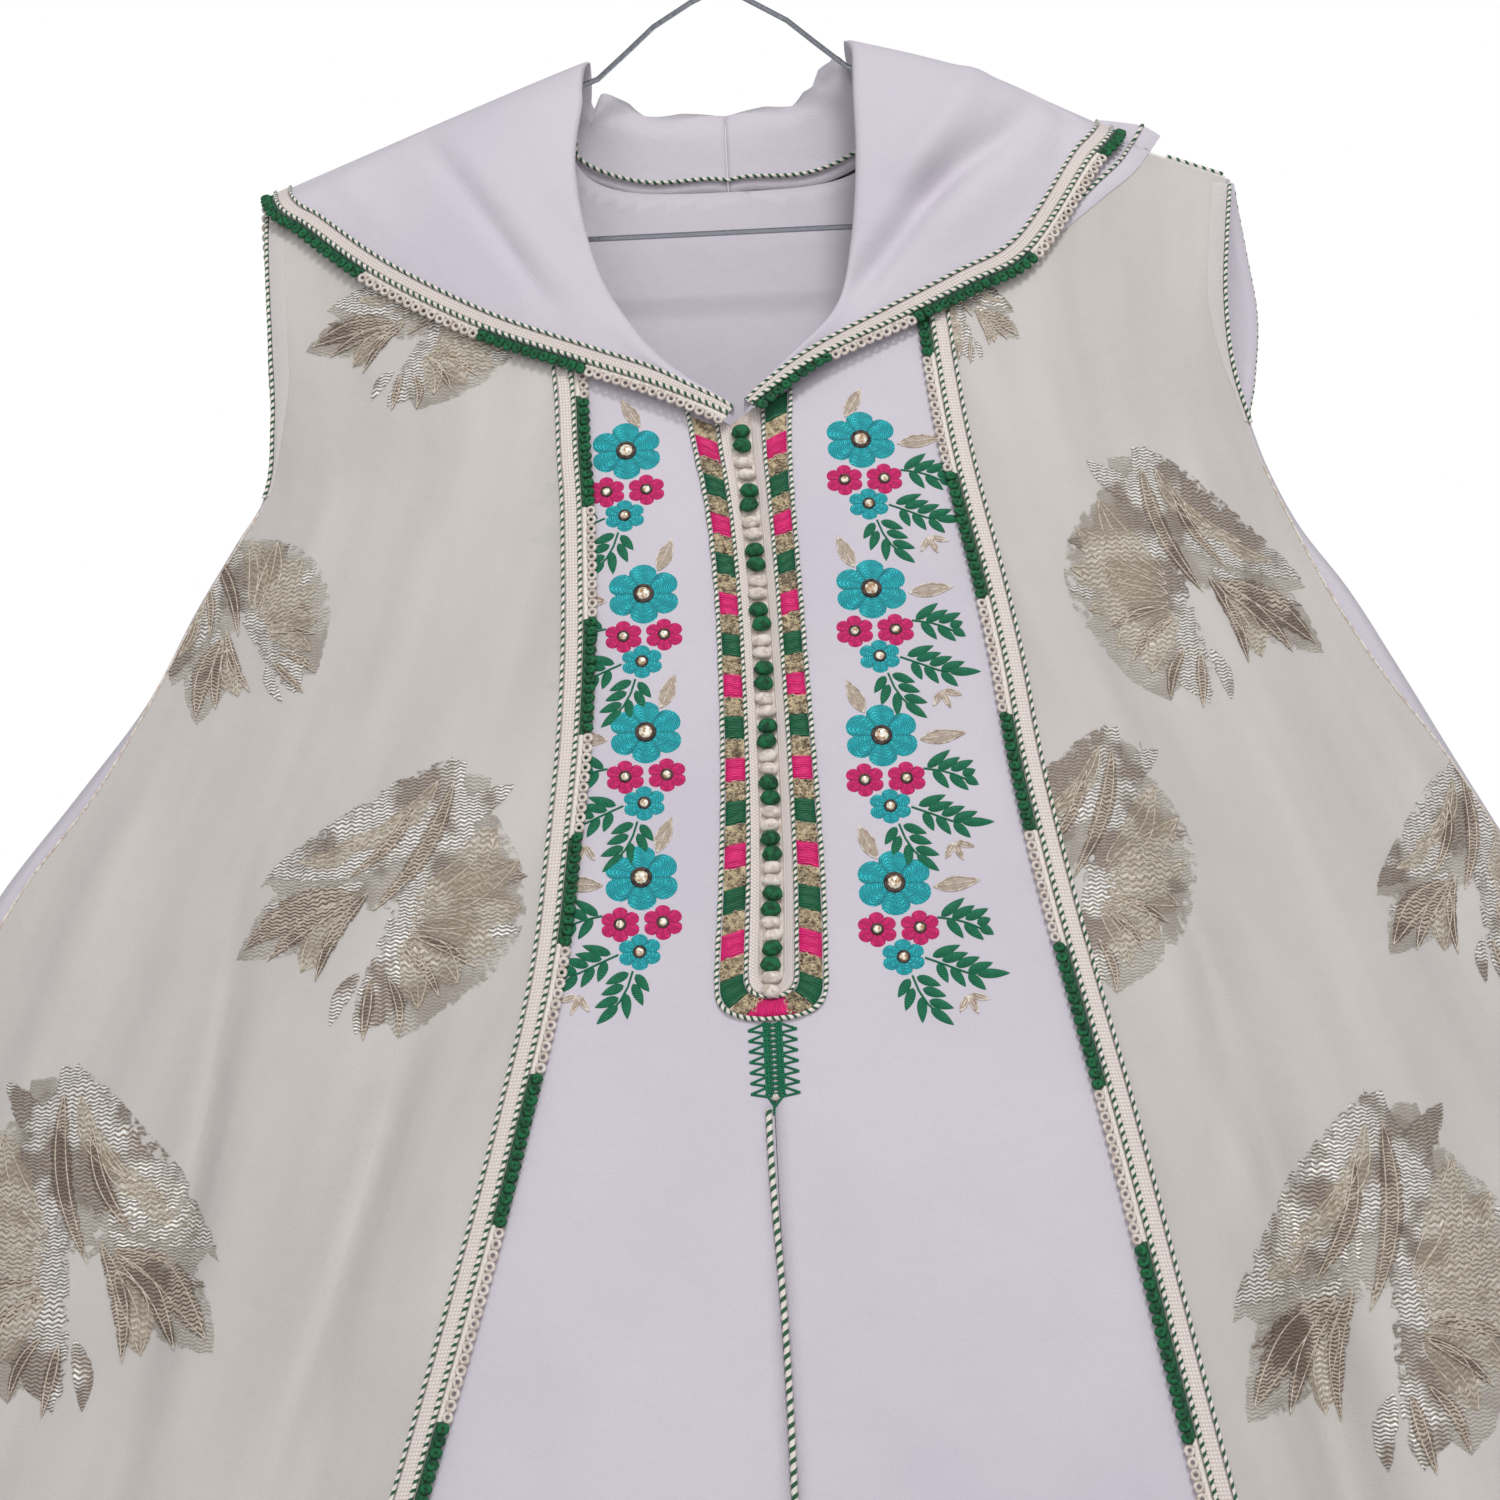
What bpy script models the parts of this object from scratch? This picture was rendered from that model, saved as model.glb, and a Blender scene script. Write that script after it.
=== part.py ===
"""A hooded, sleeveless kaftan with a sheer overdress, hanging on a plain wire hanger.

The front faces -Y, +X is to the viewer's right and +Z is up. The origin is the inner top of the
hanger's hook. All tables are in millimetres. A "drop" is the distance below the hanger's neck,
where its two arms leave the stem, and z = -(HOOK_RISE + drop).
"""

import math

import bmesh
import bpy
import numpy as np

HOOK_RISE = 72.0       # inner top of the hook above the hanger's neck
CREPE = 1.5            # wall of the lilac dress and its hood
SHEER = 1.0            # wall of the ivory overdress
GAP = 0.3              # kept between pieces that touch
HEM = 1480.0           # drop of the hem
NECK_TOP = 54.0        # drop where the neckline crosses the shoulder
BACK_DIP = 48.0        # how far the back neckline dips below that
NECK_HALF = 83.0       # half width of the neckline at the shoulder

ARM_START = 65.0       # the hanger's arm runs straight outside this x
ARM_DROP = 50.0        # drop of the arm there
ARM_SLOPE = 0.423
WIRE = 1.4             # radius of the hanger's wire
SEAT = 3.3             # inner face of the shoulder seam above the wire's centre line

LENS_POWER = 2.6       # how flat the dress hangs between its side edges
RIDGE_REACH = 18.0     # how quickly it fills out below the shoulder seam

BRAID_HALF = 5.2       # half width of the flat braids
EDGING = 6.8           # width of the crocheted edging beside a braid
BRAID_THICK = 1.4
EDGING_THICK = 1.6
PLACKET_HALF = 23.5
PLACKET_END = 556.0

# the drops at which both sides of the dress are measured, and there, per side:
# front edge, back edge, braid line, and how far the sheer stops short of the side
#  drop  front  back  full   braid  inset
RIGHT = (
    (60, 262, 262, 292, 100, 2.5),
    (121, 257, 258, 288, 100, 2.5),
    (160, 250, 262, 282, 99, 2.5),
    (200, 245, 264, 272, 99, 2.5),
    (236, 246, 258, 260, 101, 2.5),
    (262, 252, 252, 252, 103, 2.5),
    (290, 259, 259, 259, 106, 2.5),
    (318, 270, 270, 270, 110, 4),
    (350, 289, 289, 289, 115, 12),
    (390, 308, 308, 308, 120, 12),
    (439, 330, 330, 330, 124, 4),
    (500, 358, 358, 358, 132, 3),
    (600, 400, 400, 400, 149, 3),
    (800, 466, 466, 466, 180, 3),
    (1000, 511, 511, 511, 222, 3),
    (1250, 549, 549, 549, 270, 3),
    (1480, 574, 574, 574, 310, 3),
)
LEFT = (
    (60, 240, 240, 290, 98, 2.5),
    (121, 236, 237, 284, 98, 2.5),
    (160, 234, 238, 276, 95, 2.5),
    (200, 232, 237, 264, 89, 2.5),
    (240, 231, 234, 248, 84, 2.5),
    (277, 236, 236, 236, 83, 2.5),
    (300, 249, 249, 249, 82, 2.5),
    (332, 267, 267, 267, 82, 2.5),
    (382, 292, 292, 292, 83, 2.5),
    (426, 324, 324, 324, 86, 11),
    (470, 357, 357, 357, 91, 12),
    (530, 388, 388, 388, 99, 12),
    (600, 416, 416, 416, 116, 12),
    (800, 474, 474, 474, 174, 12),
    (1000, 514, 514, 514, 230, 12),
    (1250, 553, 553, 553, 292, 12),
    (1480, 578, 578, 578, 342, 12),
)
FRONT_EDGE, BACK_EDGE, FULL, BRAID, INSET = 1, 2, 3, 4, 5

# how far the middle of the front and of the back stand from the hanger's plane
#  drop  front  back
DEPTHS = (
    (40, 23, 26),
    (120, 28, 32),
    (250, 36, 38),
    (450, 52, 50),
    (700, 74, 68),
    (950, 93, 84),
    (1200, 110, 98),
    (1480, 124, 110),
)

# neckline of the front: drop, x on the left, x on the right
NECKLINE = (
    (54, 84, 82),
    (95, 85, 80),
    (127, 85, 77),
    (160, 82, 73),
    (180, 77, 67),
    (200, 70, 55),
    (220, 57, 41),
    (240, 38, 23),
    (256, 20, 9),
    (268, 2, 1),
)

# soft folds: x and drop where one starts, x at the hem, half width and depth at the hem
#  x      drop  x_hem  width  depth
FRONT_FOLDS = (
    (-197, 320, -440, 34, 34),
    (-262, 560, -525, 22, 12),
    (-150, 460, -330, 30, 26),
    (-100, 700, -215, 26, 20),
    (-30, 760, -95, 30, 22),
    (45, 720, 60, 28, 20),
    (120, 640, 185, 28, 22),
    (158, 310, 395, 34, 34),
    (205, 480, 300, 26, 18),
    (275, 520, 500, 26, 18),
)
BACK_FOLDS = (
    (-210, 380, -450, 32, 26),
    (-140, 460, -330, 32, 28),
    (-60, 520, -190, 30, 26),
    (0, 600, -45, 28, 20),
    (60, 480, 110, 32, 28),
    (130, 420, 260, 32, 26),
    (190, 360, 390, 32, 28),
    (250, 460, 490, 26, 16),
)

# rows that every column of cloth has: shares of the way from the shoulder line down to ZONE,
# then drops
TOP_SHARES = (0.0, 0.03, 0.08, 0.15, 0.24, 0.34, 0.45, 0.56, 0.67, 0.78, 0.89)
ZONE = 340.0
LOW_ROWS = (340, 390, 440, 495, 556, 625, 700, 785, 880, 990, 1110, 1240, 1360, 1480)
CENTRE_SHARES = (0.35, 0.65, 0.9)
SIDE_SHARES = (0.2, 0.4, 0.6, 0.8, 1.0)
BACK_SHARES = (0.0, 0.35, 0.62, 0.76, 0.86)
NECK_REACH = 33.0      # the tallest face kept beside the neckline


def clear_scene():
    for item in list(bpy.data.objects):
        bpy.data.objects.remove(item, do_unlink=True)


def read(table, column, drop):
    """A column of a table at any drop, by a smooth curve through its rows."""
    rows = np.array(table, dtype=float)
    at = rows[:, 0]
    value = rows[:, column]
    slope = np.gradient(value, at)
    drop = np.clip(drop, at[0], at[-1])
    i = np.clip(np.searchsorted(at, drop) - 1, 0, len(at) - 2)
    span = at[i + 1] - at[i]
    t = (drop - at[i]) / span
    start = (1 + 2 * t) * (1 - t) ** 2 * value[i] + t * (1 - t) ** 2 * span * slope[i]
    end = t * t * (3 - 2 * t) * value[i + 1] + t * t * (t - 1) * span * slope[i + 1]
    return start + end


def side_value(column, x, drop):
    """A measure of the dress on the side where x lies."""
    return np.where(x < 0, read(LEFT, column, drop), read(RIGHT, column, drop))


def ridge(x):
    """Drop of the shoulder line, just above the hanger's arm."""
    reach = np.sqrt(np.square(x) + 100.0)
    return ARM_DROP - SEAT + (reach - ARM_START) * ARM_SLOPE


def fold_depth(folds, x, drop):
    total = np.zeros(np.broadcast(x, drop).shape)
    for start_x, start_drop, hem_x, width, depth in folds:
        way = np.clip((drop - start_drop) / (HEM - start_drop), 0.0, 1.0)
        centre = start_x + (hem_x - start_x) * way
        spread = width * (0.45 + 0.55 * way)
        grown = 1.0 - np.exp(-2.2 * way)
        total = total + depth * grown * np.exp(-np.square((x - centre) / spread))
    return total


def stand_off(x, drop, face):
    """How far the inner face of the dress lies from the hanger's plane. Face is -1 or +1."""
    full = side_value(FULL, x, drop)
    if face > 0:
        full = full + side_value(BACK_EDGE, x, drop) - side_value(FRONT_EDGE, x, drop)
    lens = np.clip(1.0 - (np.abs(x) / full) ** LENS_POWER, 0.0, 1.0)
    below = np.maximum(drop - ridge(x), 0.0)
    filled = 1.0 - np.exp(-below / RIDGE_REACH)
    bulk = read(DEPTHS, 1 if face < 0 else 2, drop)
    folds = fold_depth(FRONT_FOLDS if face < 0 else BACK_FOLDS, x, drop)
    return GAP / 2 + lens * filled * (bulk - folds * np.sqrt(lens))


def skin(x, drop, face, out=0.0):
    """A point of the dress, moved out from its inner face. Returns x, y, drop."""
    x = np.asarray(x, dtype=float)
    drop = np.asarray(drop, dtype=float)
    inward = np.where(x < 0, 0.5, -0.5)
    here = stand_off(x, drop, face)
    across = (stand_off(x + inward, drop, face) - here) / inward
    down = (stand_off(x, drop + 0.5, face) - here) / 0.5
    normal = np.stack([-across, face * np.ones_like(across), -down], axis=-1)
    normal = normal / np.linalg.norm(normal, axis=-1, keepdims=True)
    point = np.stack([x, face * here, drop], axis=-1)
    return point + normal * np.asarray(out)[..., None]


def unit(vectors):
    length = np.linalg.norm(vectors, axis=-1, keepdims=True)
    return vectors / np.maximum(length, 1e-9)


def corner_normals(points):
    """At each point of a grid, the mean normal of the faces round it."""
    first = points[1:, 1:] - points[:-1, :-1]
    second = points[1:, :-1] - points[:-1, 1:]
    faces = unit(np.cross(first, second))
    total = np.zeros_like(points)
    for row in (0, 1):
        for column in (0, 1):
            rows = slice(row, row + len(faces))
            columns = slice(column, column + faces.shape[1])
            total[rows, columns] += faces
    return unit(total)


def moved_out(points, face, out):
    """A grid of cloth moved away from the hanger's plane."""
    normals = corner_normals(points)
    sign = np.sign(np.sum(normals[..., 1]) * face)
    return points + normals * sign * out


def to_metres(points):
    points = np.asarray(points, dtype=float)
    moved = np.array(points)
    moved[..., 2] = -(HOOK_RISE + points[..., 2])
    return moved / 1000.0


# materials

def material(name, colour, roughness, metallic=0.0):
    made = bpy.data.materials.new(name)
    made.use_nodes = True
    shader = made.node_tree.nodes["Principled BSDF"]
    shader.inputs["Base Color"].default_value = (*colour, 1.0)
    shader.inputs["Roughness"].default_value = roughness
    shader.inputs["Metallic"].default_value = metallic
    return made


# making objects

def keep(item, look, group):
    item.data.materials.append(look)
    group.objects.link(item)
    return item


def open_neckline(grid, places, cut):
    """Draws the rows above the neckline down onto it and removes the faces over the hole."""
    rows, columns = cut.shape
    spots = {}
    for vertex, (row, column) in places.items():
        spots[(row, column)] = vertex
    over = set()
    for column in range(columns):
        kept = max(row for row in range(rows) if not cut[row, column])
        for row in range(kept + 1, rows):
            spots[(row, column)].co = spots[(kept, column)].co
            over.add(spots[(row, column)])
    spare = []
    for face in grid.faces:
        heights = [vertex.co.z for vertex in face.verts]
        distinct = {tuple(round(value, 7) for value in vertex.co) for vertex in face.verts}
        tall = max(heights) - min(heights) > NECK_REACH / 1000.0
        if len(distinct) < 3 or (tall and any(vertex in over for vertex in face.verts)):
            spare.append(face)
    bmesh.ops.delete(grid, geom=spare, context="FACES")
    bmesh.ops.remove_doubles(grid, verts=grid.verts, dist=0.000001)
    loose = [vertex for vertex in grid.verts if not vertex.link_faces]
    bmesh.ops.delete(grid, geom=loose, context="VERTS")


def cloth_from_grid(name, points, wall, look, group, offset=1.0, cut=None):
    """A sheet from a grid of points, rows from the bottom up, thickened to a wall."""
    rows = len(points)
    columns = len(points[0])
    mesh = bpy.data.meshes.new(name)
    grid = bmesh.new()
    bmesh.ops.create_grid(grid, x_segments=columns - 1, y_segments=rows - 1, size=1.0)
    metres = to_metres(points)
    places = {}
    for vertex in grid.verts:
        column = round((vertex.co.x + 1.0) / 2.0 * (columns - 1))
        row = round((vertex.co.y + 1.0) / 2.0 * (rows - 1))
        places[vertex] = (row, column)
    for vertex, (row, column) in places.items():
        vertex.co = metres[row][column]
    if cut is not None:
        open_neckline(grid, places, cut)
    grid.to_mesh(mesh)
    grid.free()
    mesh.shade_smooth()
    item = bpy.data.objects.new(name, mesh)
    solid = item.modifiers.new("wall", "SOLIDIFY")
    solid.thickness = wall / 1000.0
    solid.offset = offset
    return keep(item, look, group)


def tube(name, path, radius, look, group, sides=1):
    line = bpy.data.curves.new(name, "CURVE")
    line.dimensions = "3D"
    line.bevel_depth = radius / 1000.0
    line.bevel_resolution = sides
    line.use_fill_caps = True
    spline = line.splines.new("POLY")
    places = to_metres(path)
    spline.points.add(len(places) - 1)
    for point, place in zip(spline.points, places):
        point.co = (*place, 1.0)
    return keep(bpy.data.objects.new(name, line), look, group)


# the columns and rows of the cloth

def front_columns(side, drop):
    """Distances from the centre line: placket, braid and side share these columns."""
    table = LEFT if side < 0 else RIGHT
    drop = np.asarray(drop, dtype=float)
    braid = read(table, BRAID, drop)
    inner = braid - BRAID_HALF - EDGING
    outer = braid + BRAID_HALF
    edge = read(table, FRONT_EDGE, drop)
    sheer = edge - read(table, INSET, drop)
    same = np.ones_like(drop)
    places = [GAP / 2 * same, 12.5 * same, PLACKET_HALF * same]
    places += [PLACKET_HALF + (inner - PLACKET_HALF) * share for share in CENTRE_SHARES]
    places += [inner, braid - BRAID_HALF, outer]
    places += [outer + (sheer - outer) * share for share in SIDE_SHARES]
    return np.array(places + [edge])


def back_columns(side, drop):
    table = LEFT if side < 0 else RIGHT
    braid = read(table, BRAID, drop)
    edge = read(table, BACK_EDGE, drop)
    sheer = edge - read(table, INSET, drop)
    places = [braid * share for share in BACK_SHARES]
    outer = places[-1]
    places += [outer + (sheer - outer) * share for share in SIDE_SHARES]
    return np.array(places + [edge])


INNER, BRAID_IN, BRAID_OUT = 6, 7, 8     # columns of the front under the long braid


def column_top(side, column, face):
    """Drop at which one column of cloth meets the neckline, or 0 where it misses it."""
    lay = front_columns if face < 0 else back_columns
    drops = np.arange(60.0, 268.25, 0.25)
    x = lay(side, drops)[column]
    if face < 0:
        over = (x < read(NECKLINE, 1 if side < 0 else 2, drops)) & (drops < 268.0)
    else:
        share = np.clip(x / NECK_HALF, 0.0, 1.0)
        over = drops < (NECK_TOP + BACK_DIP * (1.0 - share ** 4) ** 0.25)
        over &= x < NECK_HALF
    if not over.any() or column >= (INNER if face < 0 else len(BACK_SHARES)):
        return 0.0
    return float(drops[np.flatnonzero(over)[-1]]) + 0.25


def column_drops(side, column, face):
    """Drops of one column's rows, and which of them lie above the neckline."""
    lay = front_columns if face < 0 else back_columns
    top = float(ridge(lay(side, 60.0)[column]))
    for _ in range(4):
        top = float(ridge(lay(side, max(top, 60.0))[column]))
    drops = [top + (ZONE - top) * share for share in TOP_SHARES] + list(LOW_ROWS)
    drops = np.array(drops, dtype=float)
    neck = column_top(side, column, face)
    above = drops < neck
    if above.any():
        last = np.flatnonzero(above)[-1]
        if neck - drops[last] < drops[last + 1] - neck:
            drops[last] = neck
            above[last] = False
        else:
            drops[last + 1] = neck
    return drops, above


def panel(side, face):
    """Grid of one half, rows from the hem up and columns from left to right seen outside."""
    lay = front_columns if face < 0 else back_columns
    grid = []
    cuts = []
    for column in range(len(lay(side, 300.0))):
        drops, above = column_drops(side, column, face)
        x = side * lay(side, drops)[column]
        drops[0] = max(drops[0], float(ridge(x[0])))
        grid.append(skin(x, drops, face)[::-1])
        cuts.append(above[::-1])
    if side < 0:
        grid = grid[::-1]
        cuts = cuts[::-1]
    if face > 0:
        grid = grid[::-1]
        cuts = cuts[::-1]
    return np.array(grid).transpose(1, 0, 2), np.array(cuts).T


def whole_back():
    left, left_cut = panel(-1, 1)
    right, right_cut = panel(1, 1)
    points = np.concatenate([right, left[:, 1:]], axis=1)
    return points, np.concatenate([right_cut, left_cut[:, 1:]], axis=1)


# dress and overdress

def make_dress(looks, group):
    for side, word in ((-1, "left"), (1, "right")):
        points, above = panel(side, -1)
        cloth_from_grid("front_" + word, points, CREPE, looks["crepe"], group, cut=above)
    points, above = whole_back()
    cloth_from_grid("back", points, CREPE, looks["crepe"], group, cut=above)


def from_column(points, side, first, last):
    """Columns of a front half, counted from the centre line."""
    count = points.shape[1]
    if side > 0:
        return points[:, first:last + 1]
    return points[:, count - 1 - last:count - first]


def make_overdress(looks, group):
    out = CREPE + GAP
    for side, word in ((-1, "left"), (1, "right")):
        points = moved_out(panel(side, -1)[0], -1, out)
        points = from_column(points, side, BRAID_IN, points.shape[1] - 2)
        cloth_from_grid("overdress_" + word, points, SHEER, looks["sheer"], group)
        add_armhole_cord(word, "front", points[:, 0 if side < 0 else -1], -1, looks, group)
    points, above = whole_back()
    points = moved_out(points, 1, out)[:, 1:-1]
    cloth_from_grid("overdress_back", points, SHEER, looks["sheer"], group,
                    cut=above[:, 1:-1])
    add_armhole_cord("right", "back", points[:, 0], 1, looks, group)
    add_armhole_cord("left", "back", points[:, -1], 1, looks, group)


ARMHOLE_CORDS = {
    ("left", "front"): (140, 265),
    ("left", "back"): (185, 265),
    ("right", "front"): (124, 252),
    ("right", "back"): (124, 250),
}


def add_armhole_cord(word, spot, edge, face, looks, group):
    """A round cord on the overdress beside its armhole."""
    start, end = ARMHOLE_CORDS[(word, spot)]
    line = edge[np.argsort(edge[:, 2])]
    drops = np.array([start] + [d for d in line[:, 2] if start + 4 < d < end - 4] + [end])
    path = np.array([[np.interp(d, line[:, 2], line[:, axis]) for axis in range(3)]
                     for d in drops])
    side = -1 if word == "left" else 1
    path[:, 0] -= side * 2.0
    path[:, 1] += face * (SHEER + 0.9 + 1.5)
    tube("armhole_cord_%s_%s" % (word, spot), path, 1.1, looks["cord"], group)


# the long braids on the front edges of the overdress

BRAID_TOP = 196.0      # they start under the hood


def make_long_braids(looks, group):
    on_sheer = CREPE + GAP + SHEER + GAP
    for side, word in ((-1, "left"), (1, "right")):
        points = panel(side, -1)[0]
        rows = int(np.sum(from_column(points, side, BRAID_IN, BRAID_IN)[:, 0, 2] > BRAID_TOP))
        high = from_column(moved_out(points, -1, on_sheer), side, BRAID_IN, BRAID_OUT)[:rows]
        cloth_from_grid("braid_" + word, high, BRAID_THICK, looks["braid"], group)
        low = from_column(moved_out(points, -1, CREPE + GAP), side, INNER, BRAID_IN)[:rows]
        low = np.array(low)
        near = -1 if side > 0 else 0
        away = low[:, 0 if side > 0 else -1] - low[:, near]
        low[:, near] += unit(away) * 0.5
        cloth_from_grid("edging_" + word, low, EDGING_THICK, looks["edging"], group)


# the hood, laid open over the shoulders, and its trims

# each row goes from the neck seam to the free edge. Face is -1 on the front, 0 along the
# shoulder line and 1 on the back. Seam: x, drop. Stand, the fold where it turns over: x, drop,
# and the radius of the fold. Mid and edge: x, drop, lift above the dress.
#  face  seam       stand          mid             edge
HOOD_LEFT = (
    (-1, (2, 264), (2.5, 261, 1.6), (4, 260, 7), (6, 265, 8)),
    (-1, (33, 244), (31, 241, 2.4), (36, 241, 8.5), (41, 246, 8)),
    (-1, (56, 220), (52, 217, 3.0), (64, 219, 9.5), (78, 229, 6.6)),
    (-1, (76, 181), (71, 178, 3.6), (97, 185, 12), (126, 206, 6.8)),
    (-1, (85, 127), (80, 126, 4.0), (124, 138, 14), (176, 172, 6.2)),
    (-1, (85, 84), (76, 86, 3.4), (140, 104, 12), (212, 139, 6)),
    (0, (84, 0), (75, 0, 2.4), (150, 0, 10), (233, 0, 9)),
    (1, (84, 76), (73, 68, 3.4), (146, 120, 11), (224, 170, 6)),
    (1, (78, 90), (64, 66, 4.5), (112, 170, 14), (172, 262, 6)),
    (1, (44, 101), (34, 70, 5.5), (60, 200, 18), (92, 345, 7)),
    (1, (0, 102), (0, 68, 6.0), (0, 210, 20), (0, 395, 8)),
)
HOOD_RIGHT = (
    (-1, (2, 261), (2.5, 258, 1.6), (4, 256, 7), (6, 260, 8)),
    (-1, (24, 240), (25, 236, 2.4), (33, 234, 8.5), (39, 236, 8)),
    (-1, (45, 216), (48, 212, 3.4), (64, 208, 10), (80, 215, 6.6)),
    (-1, (66, 182), (62, 178, 4.2), (86, 176, 13), (115, 197, 6.8)),
    (-1, (77, 130), (68, 130, 4.4), (104, 140, 17), (148, 178, 6.6)),
    (-1, (80, 88), (70, 86, 4.4), (128, 98, 18), (190, 128, 7)),
    (0, (82, 0), (71, 0, 4.4), (140, 0, 17), (217, 0, 9)),
    (1, (82, 76), (71, 62, 4.6), (140, 118, 15), (214, 160, 6)),
    (1, (76, 88), (62, 60, 5.0), (110, 170, 15), (170, 255, 6)),
    (1, (44, 100), (34, 68, 5.5), (60, 200, 18), (92, 345, 7)),
    (1, (0, 102), (0, 68, 6.0), (0, 210, 20), (0, 395, 8)),
)
HOOD_STATIONS = (0, 0.5, 1, 1.5, 2, 2.5, 3, 3.5, 4, 4.5, 5, 5.3, 5.55, 5.75, 5.9, 6, 6.1, 6.25,
                 6.45, 6.7, 7, 7.4, 8, 8.5, 9, 9.5, 10)
HOOD_SHARES = (0.0, 0.10, 0.18, 0.25, 0.34, 0.48, 0.66, 0.84, 1.0)
HOOD_SEAT = CREPE + GAP + SHEER + GAP + CREPE / 2 + 0.15


def over_ridge(x, around, lift):
    """A point lifted off the dress, where around is the way down from the shoulder line."""
    face = -1 if around < 0 else 1
    drop = float(ridge(x)) + abs(around)
    foot = skin(x, drop, face, 0.0)
    normal = skin(x, drop, face, 1.0) - foot
    share = min(abs(around) / 22.0, 1.0)
    share = share * share * (3.0 - 2.0 * share)
    blend = normal * share + np.array([0.0, 0.0, -1.0]) * (1.0 - share)
    return foot + blend / np.linalg.norm(blend) * lift


def hood_controls(row, side):
    """Six points from seam to edge as x, way down from the shoulder line, and lift."""
    face, seam, stand, mid, edge = row

    def around(x, drop):
        return face * max(drop - float(ridge(x)), 0.0)

    seam_at = np.array([seam[0], around(*seam)])
    stand_at = np.array([stand[0], around(stand[0], stand[1])])
    rise = stand_at - seam_at
    rise = rise / max(np.linalg.norm(rise), 1.0)
    radius = stand[2]
    low = HOOD_SEAT
    top_at = stand_at + rise * radius
    controls = [
        (*seam_at, low),
        (*stand_at, low + 1.0),
        (*top_at, low + 1.0 + radius),
        (*stand_at, low + 1.0 + 2 * radius),
        (mid[0], around(mid[0], mid[1]), mid[2]),
        (edge[0], around(edge[0], edge[1]), edge[2]),
    ]
    return np.array(controls)


def smooth_rows(values, places):
    """A smooth curve through values at whole numbers, read at any places."""
    values = np.asarray(values, dtype=float)
    slope = np.gradient(values, axis=0)
    i = np.clip(np.floor(places).astype(int), 0, len(values) - 2)
    t = (np.asarray(places) - i)
    t = t.reshape(t.shape + (1,) * (values.ndim - 1))
    start = (1 + 2 * t) * (1 - t) ** 2 * values[i] + t * (1 - t) ** 2 * slope[i]
    end = t * t * (3 - 2 * t) * values[i + 1] + t * t * (t - 1) * slope[i + 1]
    return start + end


def hood_section(controls, side):
    """Points of one section at even shares of its length, and its last two trim points."""
    dense = smooth_rows(controls, np.linspace(0, 5, 61))
    points = np.array([over_ridge(side * max(p[0], GAP / 2), p[1], p[2]) for p in dense])
    steps = np.linalg.norm(np.diff(points, axis=0), axis=1)
    way = np.concatenate([[0.0], np.cumsum(steps)])
    width = min(2 * BRAID_HALF, way[-1] * 0.4)
    body = way[-1] - width
    wanted = [share * body for share in HOOD_SHARES] + [way[-1]]
    picked = [[np.interp(w, way, points[:, axis]) for axis in range(3)] for w in wanted]
    return np.array(picked)


def hood_points(table, side):
    rows = np.array([hood_controls(row, side) for row in table])
    sections = smooth_rows(rows, np.array(HOOD_STATIONS, dtype=float))
    return np.array([hood_section(section, side) for section in sections])


def make_hood(looks, group):
    for side, word, table in ((-1, "left", HOOD_LEFT), (1, "right", HOOD_RIGHT)):
        points = hood_points(table, side)
        cloth_from_grid("hood_" + word, points, CREPE, looks["crepe"], group, 0.0)
        outward = corner_normals(points) * -side
        lifted = points + outward * (CREPE / 2 + GAP + BRAID_THICK / 2)
        cloth_from_grid("hood_braid_" + word, lifted[:, -2:], BRAID_THICK, looks["braid"],
                        group, 0.0)
        edge = points[:, -1]
        away = unit(edge - points[:, -2])
        near = edge + away * GAP
        far = edge + away * (GAP + EDGING)
        cloth_from_grid("hood_edging_" + word, np.stack([near, far], axis=1), EDGING_THICK,
                        looks["edging"], group, 0.0)


# placket and its knots

def u_path(half, top_left, top_right):
    """A U along the placket: down the left, round the end and up the right."""
    end = PLACKET_END - PLACKET_HALF
    left = [(-half, drop) for drop in np.linspace(top_left, end, 12)[:-1]]
    turn = []
    for step in range(9):
        angle = math.pi * step / 8
        turn.append((-half * math.cos(angle), end + half * math.sin(angle)))
    right = [(half, drop) for drop in np.linspace(end, top_right, 12)[1:]]
    return np.array(left + turn + right)


def make_placket(looks, group):
    on_dress = CREPE + 0.55
    for name, inner, outer, thick, look, tops in (
            ("placket_band", 11.6, PLACKET_HALF, 1.5, "band", (258, 252)),
            ("placket_inner", 5.2, 11.2, 1.3, "braid", (269, 266))):
        a = u_path(inner, *tops)
        b = u_path(outer, *tops)
        a_points = skin(a[:, 0], a[:, 1], -1, on_dress)
        b_points = skin(b[:, 0], b[:, 1], -1, on_dress)
        cloth_from_grid(name, np.stack([a_points, b_points], axis=1), thick, looks[look],
                        group)


KNOT_FIRST, KNOT_LAST = 278.0, 531.0
KNOT_PAIRS = 20
KNOT_REACH = 0.79            # how far a knot bulges, as a share of its radius


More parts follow.
